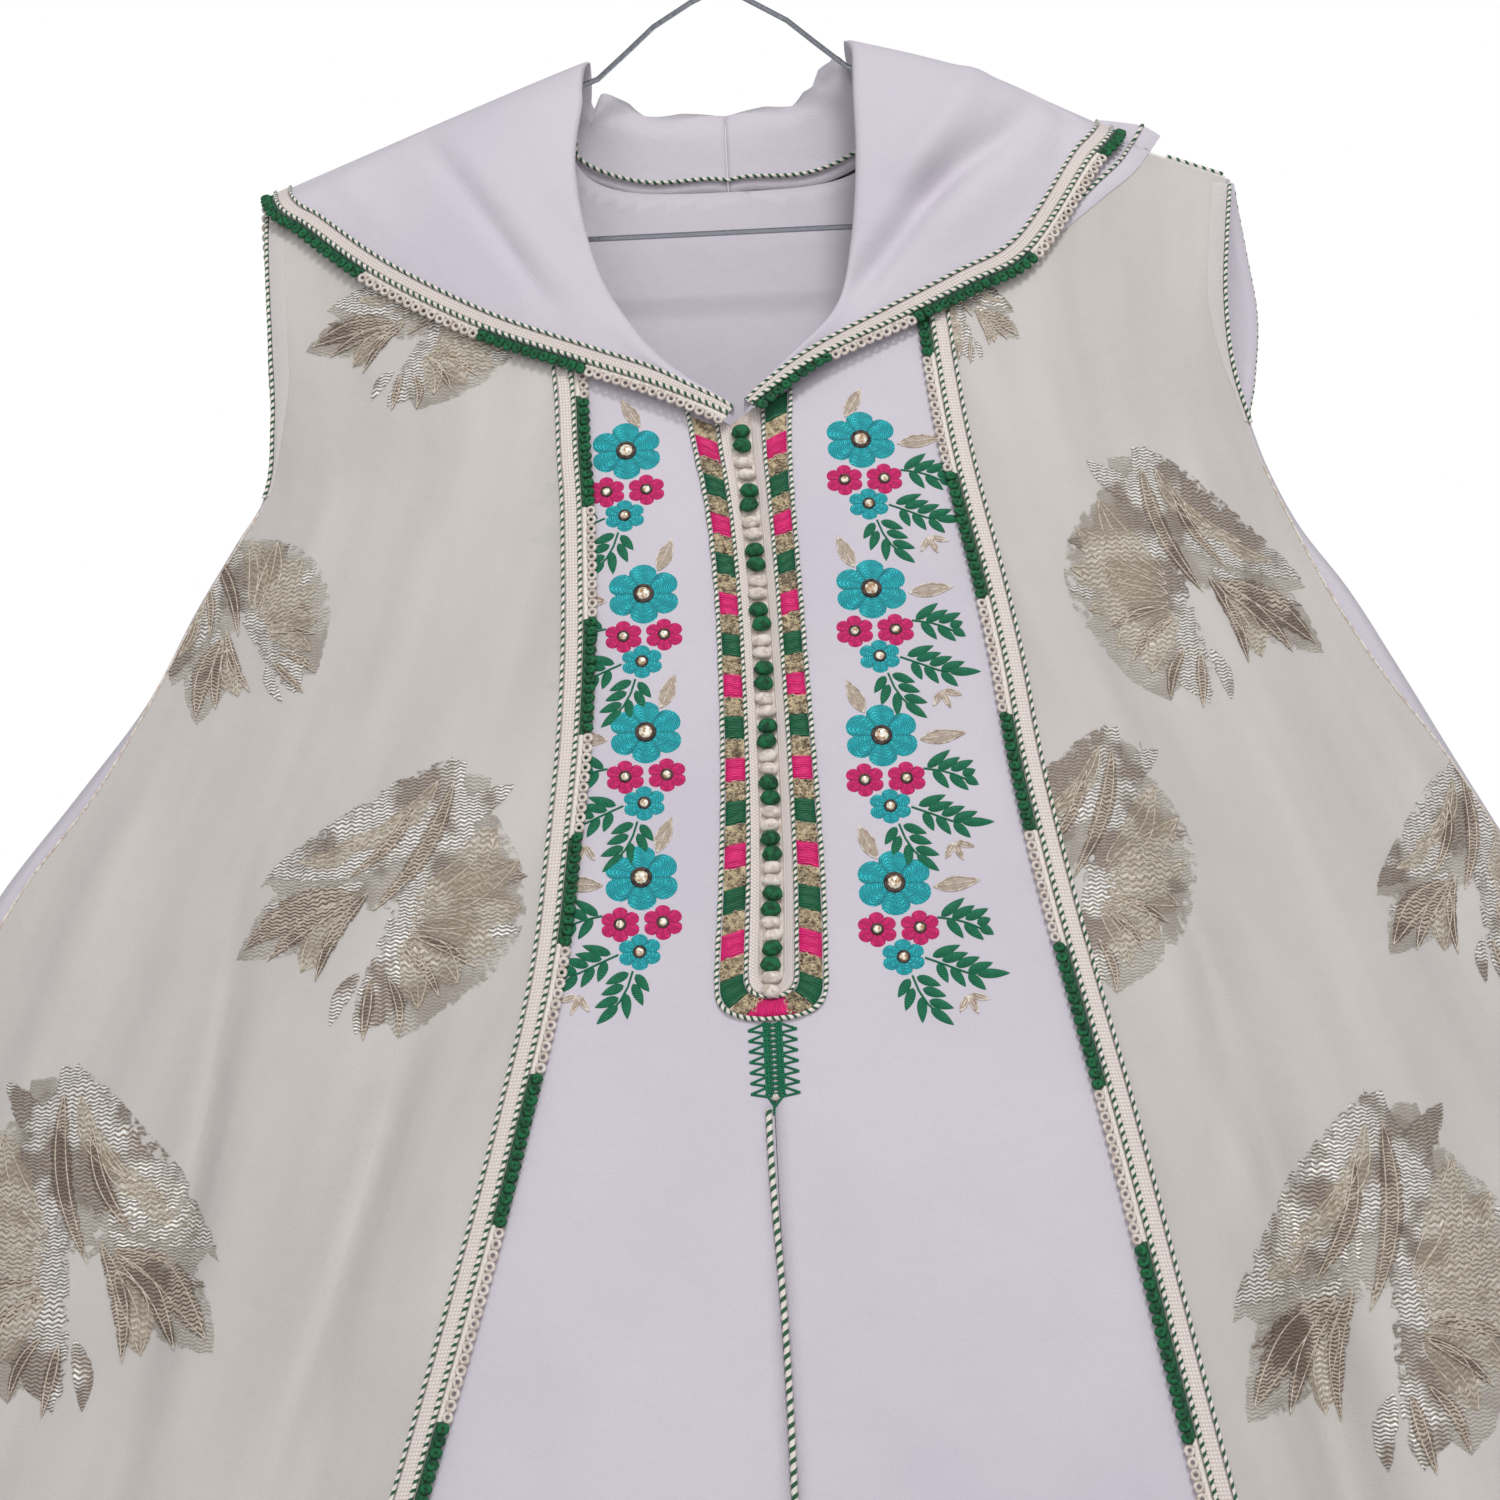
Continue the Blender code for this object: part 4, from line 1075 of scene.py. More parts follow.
def patches(name, grids, look, face=-1):
    """One piece of many small sheets, each a grid of x, drop, height above the cloth, and UVs."""
    flat = [np.concatenate([np.broadcast_to(grid[k], grid[0].shape).ravel() for grid in grids])
            for k in range(3)]
    points = skin(flat[0], flat[1], face, flat[2])
    faces, start = [], 0
    for x, drop, _, _ in grids:
        rows, columns = x.shape
        index = start + np.arange(rows * columns).reshape(rows, columns)
        cells = np.stack([index[:-1, :-1], index[1:, :-1], index[1:, 1:], index[:-1, 1:]], axis=-1)
        turn = ((x[1:, :-1] - x[:-1, :-1]) * (drop[:-1, 1:] - drop[:-1, :-1])
                - (x[:-1, 1:] - x[:-1, :-1]) * (drop[1:, :-1] - drop[:-1, :-1]))
        if turn.sum() * face < 0:
            cells = cells[..., ::-1]
        faces.append(cells.reshape(-1, 4))
        start += rows * columns
    faces = np.concatenate(faces)
    uv = np.concatenate([np.stack([np.broadcast_to(part, grid[0].shape).ravel()
                                   for part in grid[3]], axis=-1) for grid in grids]) / 1000.0
    mesh = bpy.data.meshes.new(name)
    mesh.from_pydata(to_metres(points).tolist(), [], faces.tolist())
    mesh.uv_layers.new(name="UVMap").data.foreach_set("uv", uv[faces.ravel()].ravel())
    piece = bpy.data.objects.new(name, mesh)
    bpy.context.scene.collection.objects.link(piece)
    dress_up(piece, look)
    return piece


def leaf_spine(foot, tip, width, bend, blunt, share):
    """Middle line of a leaf, its half width and the way across it, at shares of its length."""
    foot, tip = np.array(foot, dtype=float), np.array(tip, dtype=float)
    run = tip - foot
    side = np.array([-run[1], run[0]]) / np.hypot(*run)
    half = width / 2 * np.sin(math.pi * share ** blunt) ** 0.8
    middle = foot + run * share[:, None] + side * (bend * np.sin(math.pi * share))[:, None]
    return middle, half, side


def leaf_grid(foot, tip, width, high, base, bend=0.0, blunt=0.8, rows=11, columns=5):
    """A pointed leaf from its foot to its tip, both x and drop, with its UVs."""
    share = np.linspace(0.0, 1.0, rows)
    across = np.linspace(-1.0, 1.0, columns)
    middle, half, side = leaf_spine(foot, tip, width, bend, blunt, share)
    off = half[:, None] * across
    flat = middle[:, None] + side * off[..., None]
    height = base + high * (1.0 - np.abs(across) ** 2.5) * np.sin(math.pi * share)[:, None] ** 0.5
    length = math.dist(foot, tip) * share[:, None] * np.ones(columns)
    return flat[..., 0], flat[..., 1], height, (length + 0.6 * np.abs(off), off)


def strand_grid(places, width, high, base, step=1.2, columns=5):
    """A laid thread through places given as x and drop, with its UVs."""
    places = np.array(places, dtype=float)
    way = along(places)
    at = np.linspace(0.0, way[-1], max(int(way[-1] / step), 2) + 1)
    middle = np.stack([np.interp(at, way, places[:, k]) for k in range(2)], axis=-1)
    ahead = unit(np.gradient(middle, axis=0))
    side = np.stack([-ahead[:, 1], ahead[:, 0]], axis=-1)
    across = np.linspace(-1.0, 1.0, columns)
    flat = middle[:, None] + side[:, None] * (width / 2 * across)[:, None]
    height = base + high * np.sqrt(1.0 - across ** 2) * np.ones((len(at), 1))
    return flat[..., 0], flat[..., 1], height, (at[:, None], across)


def flower_grid(heart, size, petals, high, base):
    """A round flower from its heart to its rim. Size is half its width and half its height."""
    around = np.linspace(0.0, 2 * math.pi, 12 * petals + 1)
    share = np.linspace(0.1, 1.0, 10)[:, None]
    lobe = np.abs(np.cos(petals * (around - math.pi / 2) / 2))
    rim = 0.74 + 0.26 * lobe ** 0.6
    x = heart[0] + size[0] * share * rim * np.cos(around)
    drop = heart[1] - size[1] * share * rim * np.sin(around)
    swirl = 0.16 * np.sin(24.0 * share + 2.0 * np.sin(petals * around) + 2.5 * np.sin(around))
    height = (1.0 - share ** 6) * (0.55 + 0.45 * lobe ** 0.5 * share) + swirl * (1.0 - share ** 4)
    uv = (size[0] * share * (1.0 + 0.25 * np.sin(petals * around)), size[0] * share * around)
    return x, drop, base + high * height, uv


def on_cloth(places, out, scale=(1.0, 1.0, 1.0), tilts=0.0):
    """Spots and axes for copies that lie on the front: x to the right, y down, z out."""
    places = np.asarray(places, dtype=float)
    spot, normal = skin(places[:, 0], places[:, 1], -1, out, normals=True)
    turn = np.broadcast_to(tilts, len(places))[:, None]
    right = unit(np.cross(np.array([0.0, 0.0, 1.0]), normal))
    down = np.cross(normal, right)
    first = right * np.cos(turn) + down * np.sin(turn)
    second = down * np.cos(turn) - right * np.sin(turn)
    return spot, np.stack([first, second, normal], axis=1) * np.array(scale)[:, None]


# the placket: a U of satin-stitched blocks between two cords, round a ribbed band and knots

#  drop  centre  half width
PLACKET = (
    (250, -0.6, 26.5),
    (275, 0.2, 23.7),
    (306, 2.4, 21.2),
    (340, 4.0, 20.3),
    (400, 5.0, 20.6),
    (460, 4.8, 22.2),
    (500, 3.6, 23.7),
    (540, 1.4, 24.8),
    (560, 0.6, 24.8),
)
PLACKET_LOW = 557.8
BEND = 0.12            # the share of each side, from the foot, that bends round
ON_DRESS = CREPE / 2 + 0.6
BLOCK_PITCH = 20.5
BLOCK_HALF, FOOT_BLOCK_HALF = 5.8, 8.6
BLOCKS_A_SIDE = 14
LOOPS_A_GAP = 20
BLOCK_LINE = 0.70      # the middle of the blocks, as a share of the U's half width


def placket_at(t, share):
    """Place on the U, at a share of its half width. T is -1 at the top left, 0 at the foot and
    1 at the top right."""
    end = PLACKET_LOW - 19.3 * (1.0 - share)
    bottom = 6.0 + 10.0 * share
    top = np.where(t < 0, 270.0, 262.0) - 14.0 * share
    far = np.abs(t)
    angle = math.pi / 2 * np.clip(1.0 - far / BEND, 0.0, 1.0)
    straight = top + (end - bottom - top) * (1.0 - far) / (1.0 - BEND)
    bent = end - bottom + bottom * np.sin(angle) ** 0.77
    drop = np.where(far < BEND, bent, straight)
    across = np.sign(t) * share * np.maximum(np.cos(angle), 0.0) ** 0.77
    return read(PLACKET, 1, drop) + read(PLACKET, 2, drop) * across, drop


def placket_line(share, out):
    t = np.linspace(-1.0, 1.0, 1601)
    x, drop = placket_at(t, share)
    path, normal = skin(x, drop, -1, out, normals=True)
    return t, path, normal


def block_line():
    """The middle line of the blocks: places on the U, their distances, and that of its foot."""
    t, middle, _ = placket_line(BLOCK_LINE, 0.0)
    way = along(middle)
    return t, way, np.interp(0.0, t, way)


def block_half(number):
    return FOOT_BLOCK_HALF if number == 0 else BLOCK_HALF


def make_blocks():
    """Satin-stitched blocks, pink and green in turn from the foot up, gold thread between."""
    t, way, foot = block_line()
    groups = {"pink": [], "green": [], "gold": []}
    for number in range(-BLOCKS_A_SIDE - 1, BLOCKS_A_SIDE + 2):
        half = block_half(number)
        word = "pink" if number % 2 == 0 else "green"
        here = foot + BLOCK_PITCH * number
        if here + half < way[-1] + 6.0 and here - half > -6.0:
            groups[word].append(block_grid(max(here - half, 0.0), min(here + half, way[-1]),
                                           way, t, 1.5))
        start = max(here + half - 0.3, 0.0)
        last = min(here + BLOCK_PITCH - block_half(number + 1) + 0.3, way[-1])
        if last > start + 1.0:
            groups["gold"].append(block_grid(start, last, way, t, 0.8))
    for word, look in (("pink", PINK_LOOK), ("green", BLOCK_LOOK), ("gold", GOLD_LOOK)):
        piece = patches("placket_blocks_" + word, groups[word], look)
        if word == "pink":
            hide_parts("placket_band")


def block_grid(start, end, way, t, high):
    """A domed block between two distances round the U, with ribs across it."""
    share = np.linspace(0.0, 1.0, 25)[:, None]
    across = np.linspace(-1.0, 1.0, 9)
    here = np.interp(start + (end - start) * share, way, t)
    x, drop = placket_at(here, BLOCK_LINE + 0.205 * across)
    dome = (1.0 - np.abs(across) ** 4) * (1.0 - np.abs(2 * share - 1) ** 8)
    ribs = 0.85 + 0.15 * np.cos(2 * math.pi * share * (end - start) / 1.45)
    return x, drop, ON_DRESS + 0.15 + high * dome * ribs, (start + (end - start) * share,
                                                           4.3 * across)


def make_gold_loops():
    """Loops of gold thread between the blocks."""
    t, way, foot = block_line()
    spread = np.random.default_rng(7)
    places = []
    for number in range(-BLOCKS_A_SIDE, BLOCKS_A_SIDE):
        gap = foot + BLOCK_PITCH * (number + 0.5)
        for _ in range(LOOPS_A_GAP):
            here = np.interp(gap + spread.uniform(-3.9, 3.9), way, t)
            places.append(placket_at(here, BLOCK_LINE + spread.uniform(-0.18, 0.18)))
    spot, axes = on_cloth(places, ON_DRESS + 1.1, (0.55, 0.75, 0.7),
                          spread.uniform(0, math.pi, len(places)))
    copies("placket_gold_loops", LOOP, spot, axes, GOLD_LOOK)


def make_placket():
    make_blocks()
    make_gold_loops()
    for word, share, radius, pitch in (("outer", 0.965, 1.2, 3.1), ("inner", 0.45, 1.0, 3.1)):
        _, path, up = placket_line(share, ON_DRESS + radius)
        cord_piece("placket_cord_" + word, path, up, radius, pitch)
    _, inner, up = placket_line(0.21, ON_DRESS + 0.2)
    _, outer, _ = placket_line(0.41, ON_DRESS + 0.2)
    band = band_piece("placket_ribbed_band", inner[::8], outer[::8], up[::8], 1.1, 3, BRAID_LOOK)
    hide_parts("placket_inner")
    _, path, up = placket_line(0.22, ON_DRESS)
    half = len(path) // 2
    slit = band_piece("placket_slit", path[:half:8], path[:half:-8], up[:half:8], 0.3, 2,
                      CREAM_LOOK)


KNOT_PAIRS = 20
KNOT = shape_of(bpy.ops.mesh.primitive_uv_sphere_add, segments=20, ring_count=10, radius=1.0)
# number of the first pair, kind, look, slot, how far apart a pair lies, and half sizes of a knot
KNOTS = (
    (0, "green", GREEN_LOOK, "green_thread", 3.6, (4.6, 3.5, 3.0)),
    (1, "cream", CREAM_LOOK, "edging", 3.1, (4.4, 2.9, 2.4)),
)


def knot_drop(number):
    share = number / (KNOT_PAIRS - 1)
    return 275.0 + 267.0 * share + 10.0 * math.sin(math.pi * share)


def make_knots():
    """Pairs of corded knots down the middle, green and cream in turn."""
    for start, word, look, slot, reach, size in KNOTS:
        places, tilts = [], []
        for number in range(start, KNOT_PAIRS, 2):
            drop = knot_drop(number)
            lean = 0.5 * math.sin(number * 2.3)
            for way in (-1, 1):
                centre = float(read(PLACKET, 1, drop + way * reach)) + lean * way
                places.append((centre, drop + way * reach))
                tilts.append(0.22 * math.sin(number * 1.7 + way))
        spot, axes = on_cloth(places, ON_DRESS + size[2] * 0.9, size, tilts)
        piece = copies("knots_" + word, ridged(KNOT), spot, axes, look)
        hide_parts(*("knots_%s_%02d" % (word, n) for n in range(1, KNOT_PAIRS // 2 + 1)))


def ridged(shape):
    """The same shape with a wound thread's ridges around it."""
    points, faces = shape
    wave = 1.0 + 0.05 * np.cos(9.0 * np.arctan2(points[:, 2], points[:, 1]))
    return points * wave[:, None], faces


# the ladder of stitches and the cord under the placket

LADDER_TOP, LADDER_END = 558.5, 593.0
LADDER_ROWS = 7


def make_ladder():
    strands = []
    centre = 0.8
    pitch = (LADDER_END - LADDER_TOP - 2.0) / LADDER_ROWS
    for row in range(LADDER_ROWS):
        drop = LADDER_TOP + pitch * row
        for side in (-1, 1):
            edge, tip = centre + side * 3.6, centre + side * 10.6
            strands.append(((edge, drop + 0.6), (tip, drop + pitch * 0.72)))
            strands.append(((tip, drop + pitch * 0.72), (edge, drop + pitch)))
        for half in (0.0, 0.5):
            top = drop + pitch * half
            strands.append(((centre - 3.6, top), (centre + 3.6, top + pitch * 0.55)))
            strands.append(((centre + 3.6, top), (centre - 3.6, top + pitch * 0.55)))
    for offset in (-3.7, -2.6, 2.6, 3.7):
        strands.append(((centre + offset, LADDER_TOP), (centre + offset, LADDER_END - 3.0)))
    for side in (-1, 1):
        strands.append(((centre + side * 4.2, LADDER_END - 3.4), (centre - 0.6, LADDER_END + 2.4)))
    strands.append(((centre - 0.6, LADDER_END - 1.0), (centre - 1.2, LADDER_END + 6.0)))
    grids = [strand_grid(places, 1.15, 0.7, ON_DRESS) for places in strands]
    patches("ladder_stitches", grids, LEAF_LOOK)
    spot, axes = on_cloth([(centre - 0.2, LADDER_END - 1.4)], ON_DRESS + 1.4, (1.5, 1.5, 1.5))
    copies("ladder_pearl", KNOT, spot, axes, CREAM_LOOK)


def make_center_cord():
    drops = np.linspace(LADDER_END + 4.0, HEM - 6.0, 300)
    centre = 0.3 - 3.0 * np.exp(-np.square((drops - 610.0) / 60.0))
    path, up = skin(centre, drops, -1, ON_DRESS + 1.5, normals=True)
    cord = cord_piece("center_seam_cord", path, up, 1.6, 4.6, step=1.3)
    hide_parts("center_cord")


# embroidery on the dress front, beside the placket

# hearts of the big flowers, x and drop
HEARTS_RIGHT = ((57, 277), (57, 355), (57, 428), (58, 498))
HEARTS_LEFT = ((-55, 277), (-49, 352), (-50, 421), (-54, 490))

# one group, from its big flower's heart, in millimetres to the outside and down
BIG = (17.4, 15.0)
PINKS = ((-9.0, 21.1), (9.9, 21.1))
PINK_SIZE = (9.1, 8.0)
SMALL_HEART, SMALL = (1.7, 34.1), (9.9, 8.2)
STEMS = (
    ((17.8, 16.7), (25.9, 18.1), (31.7, 20.1), (41.0, 24.9)),
    ((11.1, 34.8), (20.1, 38.5), (28.8, 42.3), (38.0, 43.3)),
    ((5.0, 42.6), (7.3, 49.5), (10.8, 55.6), (17.0, 62.0)),
)
LEAVES = (
    ((19.5, 16.4), (30.6, 8.2)), ((24.2, 17.4), (34.9, 11.9)), ((30.0, 18.1), (40.8, 13.6)),
    ((35.2, 20.5), (41.4, 18.1)), ((22.1, 17.4), (28.8, 26.9)), ((29.4, 20.1), (37.6, 28.0)),
    ((36.4, 21.5), (42.2, 25.6)),
    ((14.3, 34.4), (27.1, 29.7)), ((18.3, 36.5), (30.3, 33.4)), ((24.2, 39.2), (35.2, 35.5)),
    ((29.4, 41.6), (40.8, 38.2)), ((32.9, 43.0), (48.0, 43.3)), ((16.6, 37.5), (20.4, 46.7)),
    ((22.1, 39.6), (28.0, 48.8)), ((29.4, 43.0), (36.7, 50.5)),
    ((6.7, 43.3), (17.2, 47.7)), ((9.0, 48.8), (19.2, 52.5)), ((11.4, 54.2), (22.1, 58.0)),
    ((11.9, 57.6), (21.5, 65.5)), ((3.8, 44.0), (-2.0, 52.2)), ((5.0, 48.1), (0.9, 58.3)),
    ((8.4, 52.2), (7.9, 64.1)),
)
BEIGE_LEAVES = (((17.5, 2.7), (38.1, 0.3), 6.4), ((28.6, 52.6), (24.7, 59.6), 2.8),
                ((29.2, 52.8), (32.3, 60.6), 2.8), ((29.6, 52.2), (37.8, 54.6), 2.6))
TOP_LEAF, LOW_TOP_LEAF = ((-6.7, -12.6), (1.7, -27.4), 6.0), ((-7.3, -11.6), (-14.3, -27.4), 6.6)


def make_embroidery():
    parts = {"teal": [], "pink": [], "green": [], "beige": [], "beige_edge": []}
    stones = []
    for side, hearts in ((1, HEARTS_RIGHT), (-1, HEARTS_LEFT)):
        for heart in hearts:
            add_group(parts, stones, side, heart, TOP_LEAF if heart is hearts[0] else LOW_TOP_LEAF)
    for word, look, slot in (("teal", TEAL_LOOK, "band"), ("pink", PINK_LOOK, "band"),
                             ("green", LEAF_LOOK, "green_thread"), ("beige", BEIGE_LOOK, "edging"),
                             ("beige_edge", EDGE_LOOK, "edging")):
        patches("embroidery_" + word, parts[word], look)
    make_stones(stones)


def add_group(parts, stones, side, heart, top_leaf):
    """One group of flowers and leaves round the heart of its big flower."""
    def at(place):
        return (heart[0] + side * place[0], heart[1] + place[1])

    parts["teal"].append(flower_grid(heart, BIG, 6, 0.95, ON_DRESS))
    parts["teal"].append(flower_grid(at(SMALL_HEART), SMALL, 6, 0.85, ON_DRESS))
    for place in PINKS:
        parts["pink"].append(flower_grid(at(place), PINK_SIZE, 6, 0.9, ON_DRESS))
    for stem in STEMS:
        parts["green"].append(strand_grid([at(place) for place in stem], 1.0, 0.6, ON_DRESS))
    for foot, tip in LEAVES:
        parts["green"].append(leaf_grid(at(foot), at(tip), 4.5, 0.9, ON_DRESS, blunt=0.75))
    for foot, tip, width in (*BEIGE_LEAVES, top_leaf):
        parts["beige"].append(leaf_grid(at(foot), at(tip), width * 0.9, 0.35, ON_DRESS))
        for bend in (-0.5, 0.0, 0.5):
            line = [at(place) for place in leaf_edge(foot, tip, width * bend)]
            parts["beige_edge"].append(strand_grid(line, 0.75, 0.75, ON_DRESS))
    stones.append((*heart, 3.9))
    stones.extend((*at(place), 2.3) for place in PINKS)
    stones.append((*at(SMALL_HEART), 2.4))


def leaf_edge(foot, tip, off):
    """Places from the foot of a leaf to its tip, bowed sideways by up to off."""
    foot, run = np.array(foot), np.subtract(tip, foot)
    side = np.array([-run[1], run[0]]) / np.hypot(*run)
    return [foot + run * share + side * off * math.sin(math.pi * share ** 0.85)
            for share in np.linspace(0.0, 1.0, 9)]


def make_stones(stones):
    """Faceted rhinestones in dark rims, at the hearts of the flowers."""
    rim = shape_of(bpy.ops.mesh.primitive_torus_add, major_segments=18, minor_segments=6,
                   major_radius=1.0, minor_radius=0.27)
    gem = shape_of(bpy.ops.mesh.primitive_uv_sphere_add, segments=9, ring_count=5, radius=0.85)
    stones = np.array(stones)
    spot, axes = on_cloth(stones[:, :2], ON_DRESS + 0.75)
    axes = axes * stones[:, 2, None, None]
    copies("rhinestone_rims", rim, spot, axes, RIM_LOOK)
    flatter = np.array([1.0, 1.0, 0.45])[:, None]
    gems = copies("rhinestones", gem, spot, axes * flatter, GEM_LOOK)
    gems.data.shade_flat()


# woven flowers on the sheer cloth

# parts of one motif, from its middle: kind, foot x and y, tip x and y, width, bend
MOTIF = (
    ("pale", (-14, 88), (-10, -74), 70, -20),
    ("pale", (-34, -66), (70, 14), 60, 14),
    ("pale", (16, 2), (74, 56), 40, 0),
    ("silver", (6, 90), (-12, -76), 44, -18),
    ("silver", (-20, -74), (68, 8), 44, 12),
    ("silver", (-46, -64), (4, -30), 16, 4),
    ("brown", (-8, -60), (20, -22), 15, 5),
    ("brown", (6, -38), (36, -14), 14, 5),
    ("brown", (22, -20), (52, -2), 12, 4),
    ("dark", (-16, -60), (10, 20), 11, 6),
    ("dark", (0, -46), (26, 4), 8, 4),
    ("brown", (-10, 10), (-42, -38), 26, -6),
    ("brown", (-10, 16), (-56, -20), 28, -3),
    ("silver", (-28, 0), (-62, -12), 14, 2),
    ("brown", (-10, 22), (-62, 6), 28, 0),
    ("silver", (-30, 20), (-64, 20), 13, 0),
    ("brown", (-10, 28), (-54, 32), 28, 3),
    ("dark", (-12, 30), (-46, 44), 8, 2),
    ("brown", (-8, 34), (-40, 54), 27, 4),
    ("dark", (-8, 36), (-32, 62), 8, 2),
    ("brown", (-6, 38), (-22, 70), 22, 4),
    ("silver", (-12, 24), (-34, 22), 16, 0),
    ("dark", (-4, 56), (-14, 86), 7, 3),
    ("dark", (4, 58), (2, 92), 7, 0),
    ("silver", (10, 56), (18, 88), 9, -2),
    ("dark", (14, 10), (30, 64), 9, -4),
    ("brown", (22, 22), (38, 60), 20, -3),
    ("dark", (20, 12), (70, 50), 20, -5),
    ("dark", (20, 14), (56, 56), 12, -3),
    ("silver", (16, 4), (66, 26), 12, 4),
)
# where the motifs lie on the front: x, drop, turn in degrees, scale across and down
MOTIFS_FRONT = (
    (205, 342, 0, 0.88, 0.82),
    (-162, 484, 12, -0.92, 0.80),
    (254, 671, -8, -1.02, 0.95),
    (-306, 626, 8, 1.0, 0.90),
    (-247, 338, -38, -0.66, 0.66),
    (-150, 196, 20, -0.75, 0.55),
    (146, 484, 4, -0.74, 0.78),
    (326, 491, -10, -0.74, 0.66),
    (112, 205, 0, 0.35, 0.35),
    (-180, 812, -10, 0.95, 0.9),
    (-330, 930, 14, -1.0, 0.9),
    (330, 860, 10, 1.0, 0.9),
    (-300, 1160, -8, 1.0, 0.9),
    (-420, 1290, 10, -1.0, 0.9),
    (265, 1050, 6, -1.0, 0.9),
    (400, 1180, -6, 1.0, 0.9),
    (330, 1340, 12, -1.0, 0.9),
)
MOTIFS_BACK = (
    (-110, 260, 10, 0.9, 0.85),
    (120, 420, -8, -0.9, 0.85),
    (-170, 600, 6, -1.0, 0.9),
    (190, 740, -10, 1.0, 0.9),
    (-260, 900, 12, 1.0, 0.9),
    (40, 960, 0, -1.0, 0.9),
    (300, 1080, -12, -1.0, 0.9),
    (-120, 1180, 8, 1.0, 0.9),
    (-360, 1280, -6, -1.0, 0.9),
    (160, 1330, 6, 1.0, 0.9),
)
# the look of each kind of leaf, and how far it lies above the sheer cloth
BROCADE = {"pale": (PALE_LOOK, 0.10), "silver": (SILVER_LOOK, 0.24),
           "brown": (BROWN_LOOK, 0.38), "dark": (DARK_LOOK, 0.50)}
# where the veins run, as shares of a leaf's half width
VEINS = {"brown": (-0.55, 0.0, 0.55), "dark": (-0.5, 0.5)}


def make_brocade():
    for face, word, motifs in ((-1, "front", MOTIFS_FRONT), (1, "back", MOTIFS_BACK)):
        parts = {kind: [] for kind in BROCADE}
        lines = []
        for motif in motifs:
            for kind, foot, tip, width, bend in MOTIF:
                ends, wide, bent = placed(motif, foot, tip, width, bend)
                rise = SHEER_AT + BROCADE[kind][1]
                blunt = 1.25 if kind == "brown" else 0.85
                x, drop, high, uv = leaf_grid(*ends, wide, 0.25, rise, bent, blunt, 17, 7)
                fray = np.broadcast_to(np.linspace(-10.0, 10.0, 7), x.shape)
                parts[kind].append((x, drop, high, (uv[0], fray)))
                lines += [strand_grid(line, 0.55, 0.3, SHEER_AT + 0.7, 4.0, 3)
                          for line in leaf_veins(*ends, wide, bent, kind)]
        for kind, (look, _) in BROCADE.items():
            patches("brocade_%s_%s" % (kind, word), trim_to_sheer(parts[kind], face), look,
                    face)
        patches("brocade_lines_" + word, trim_to_sheer(lines, face), LINE_LOOK, face)


def placed(motif, foot, tip, width, bend):
    """The ends, width and bend of a leaf of a motif where it lies on the cloth."""
    x, drop, turn, wide, tall = motif
    turn = math.radians(turn)
    ends = []
    for px, py in (foot, tip):
        px, py = px * wide, py * tall
        ends.append((x + px * math.cos(turn) - py * math.sin(turn),
                     drop + px * math.sin(turn) + py * math.cos(turn)))
    return ends, width * (abs(wide) + tall) / 2, bend * wide


def leaf_veins(foot, tip, width, bend, kind):
    """The veins of a leaf."""
    middle, half, side = leaf_spine(foot, tip, width, bend, 0.85, np.linspace(0.0, 1.0, 15))
    return [middle + side * (half * off)[:, None] for off in VEINS.get(kind, ())]


def trim_to_sheer(grids, face):
    """Small sheets whose points past the edge of the sheer cloth are slid back onto it."""
    sizes = np.cumsum([grid[0].size for grid in grids])[:-1]
    x = np.concatenate([grid[0].ravel() for grid in grids])
    drop = np.concatenate([grid[1].ravel() for grid in grids])
    edge = FRONT_EDGE if face < 0 else BACK_EDGE
    inner = side_value(BRAID, x, drop) - 3.0 if face < 0 else 0.0
    outer = side_value(edge, x, drop) - side_value(INSET, x, drop) - 0.5
    reach = np.sign(x) * np.clip(np.abs(x), inner, outer)
    return [(part.reshape(grid[0].shape), *grid[1:])
            for part, grid in zip(np.split(reach, sizes), grids)]


# cords on the armholes, shoulder and neck

ARMHOLE_END = {"left": 277.0, "right": 262.0}


def make_armhole_cords():
    """A cord along each edge of the armholes, and the sheer cloth's narrow hem beside it."""
    for side, word, table in SIDES:
        for face, place, column in FACES:
            ending = "%s_%s" % (word, place)
            last = ARMHOLE_END[word]
            drops = np.linspace(float(ridge(read(table, column, 100.0))) + 3.0, last, 60)
            edge = read(table, column, drops)
            path, up = skin(side * (edge - 0.6), drops, face, SHEER_AT, normals=True)
            up = unit(up + np.array([side * 1.0, 0.0, 0.0]))
            cord = cord_piece("armhole_cord_%s_twist" % ending, path, up, 1.15, 3.6)
            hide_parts("armhole_cord_" + ending)
            width = 8.0 * np.clip((last - drops) / 60.0, 0.25, 1.0)
            outer, up = skin(side * (edge - 2.0), drops, face, SHEER_AT + 0.1, normals=True)
            inner = skin(side * (edge - 2.0 - width), drops, face, SHEER_AT + 0.1)
            hem = band_piece("armhole_hem_" + ending, inner, outer, up, 0.5, 1, HEM_LOOK)


def make_shoulder_cord():
    along_seam = np.linspace(225.0, 253.0, 30)
    path = np.stack([along_seam, np.full(30, -1.4), ridge(along_seam) - 2.3], axis=-1)
    up = np.tile([0.0, -0.7, -0.7], (30, 1))
    cord = cord_piece("shoulder_cord_twist", path, up, 1.3, 4.6)
    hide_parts("shoulder_cord_right")


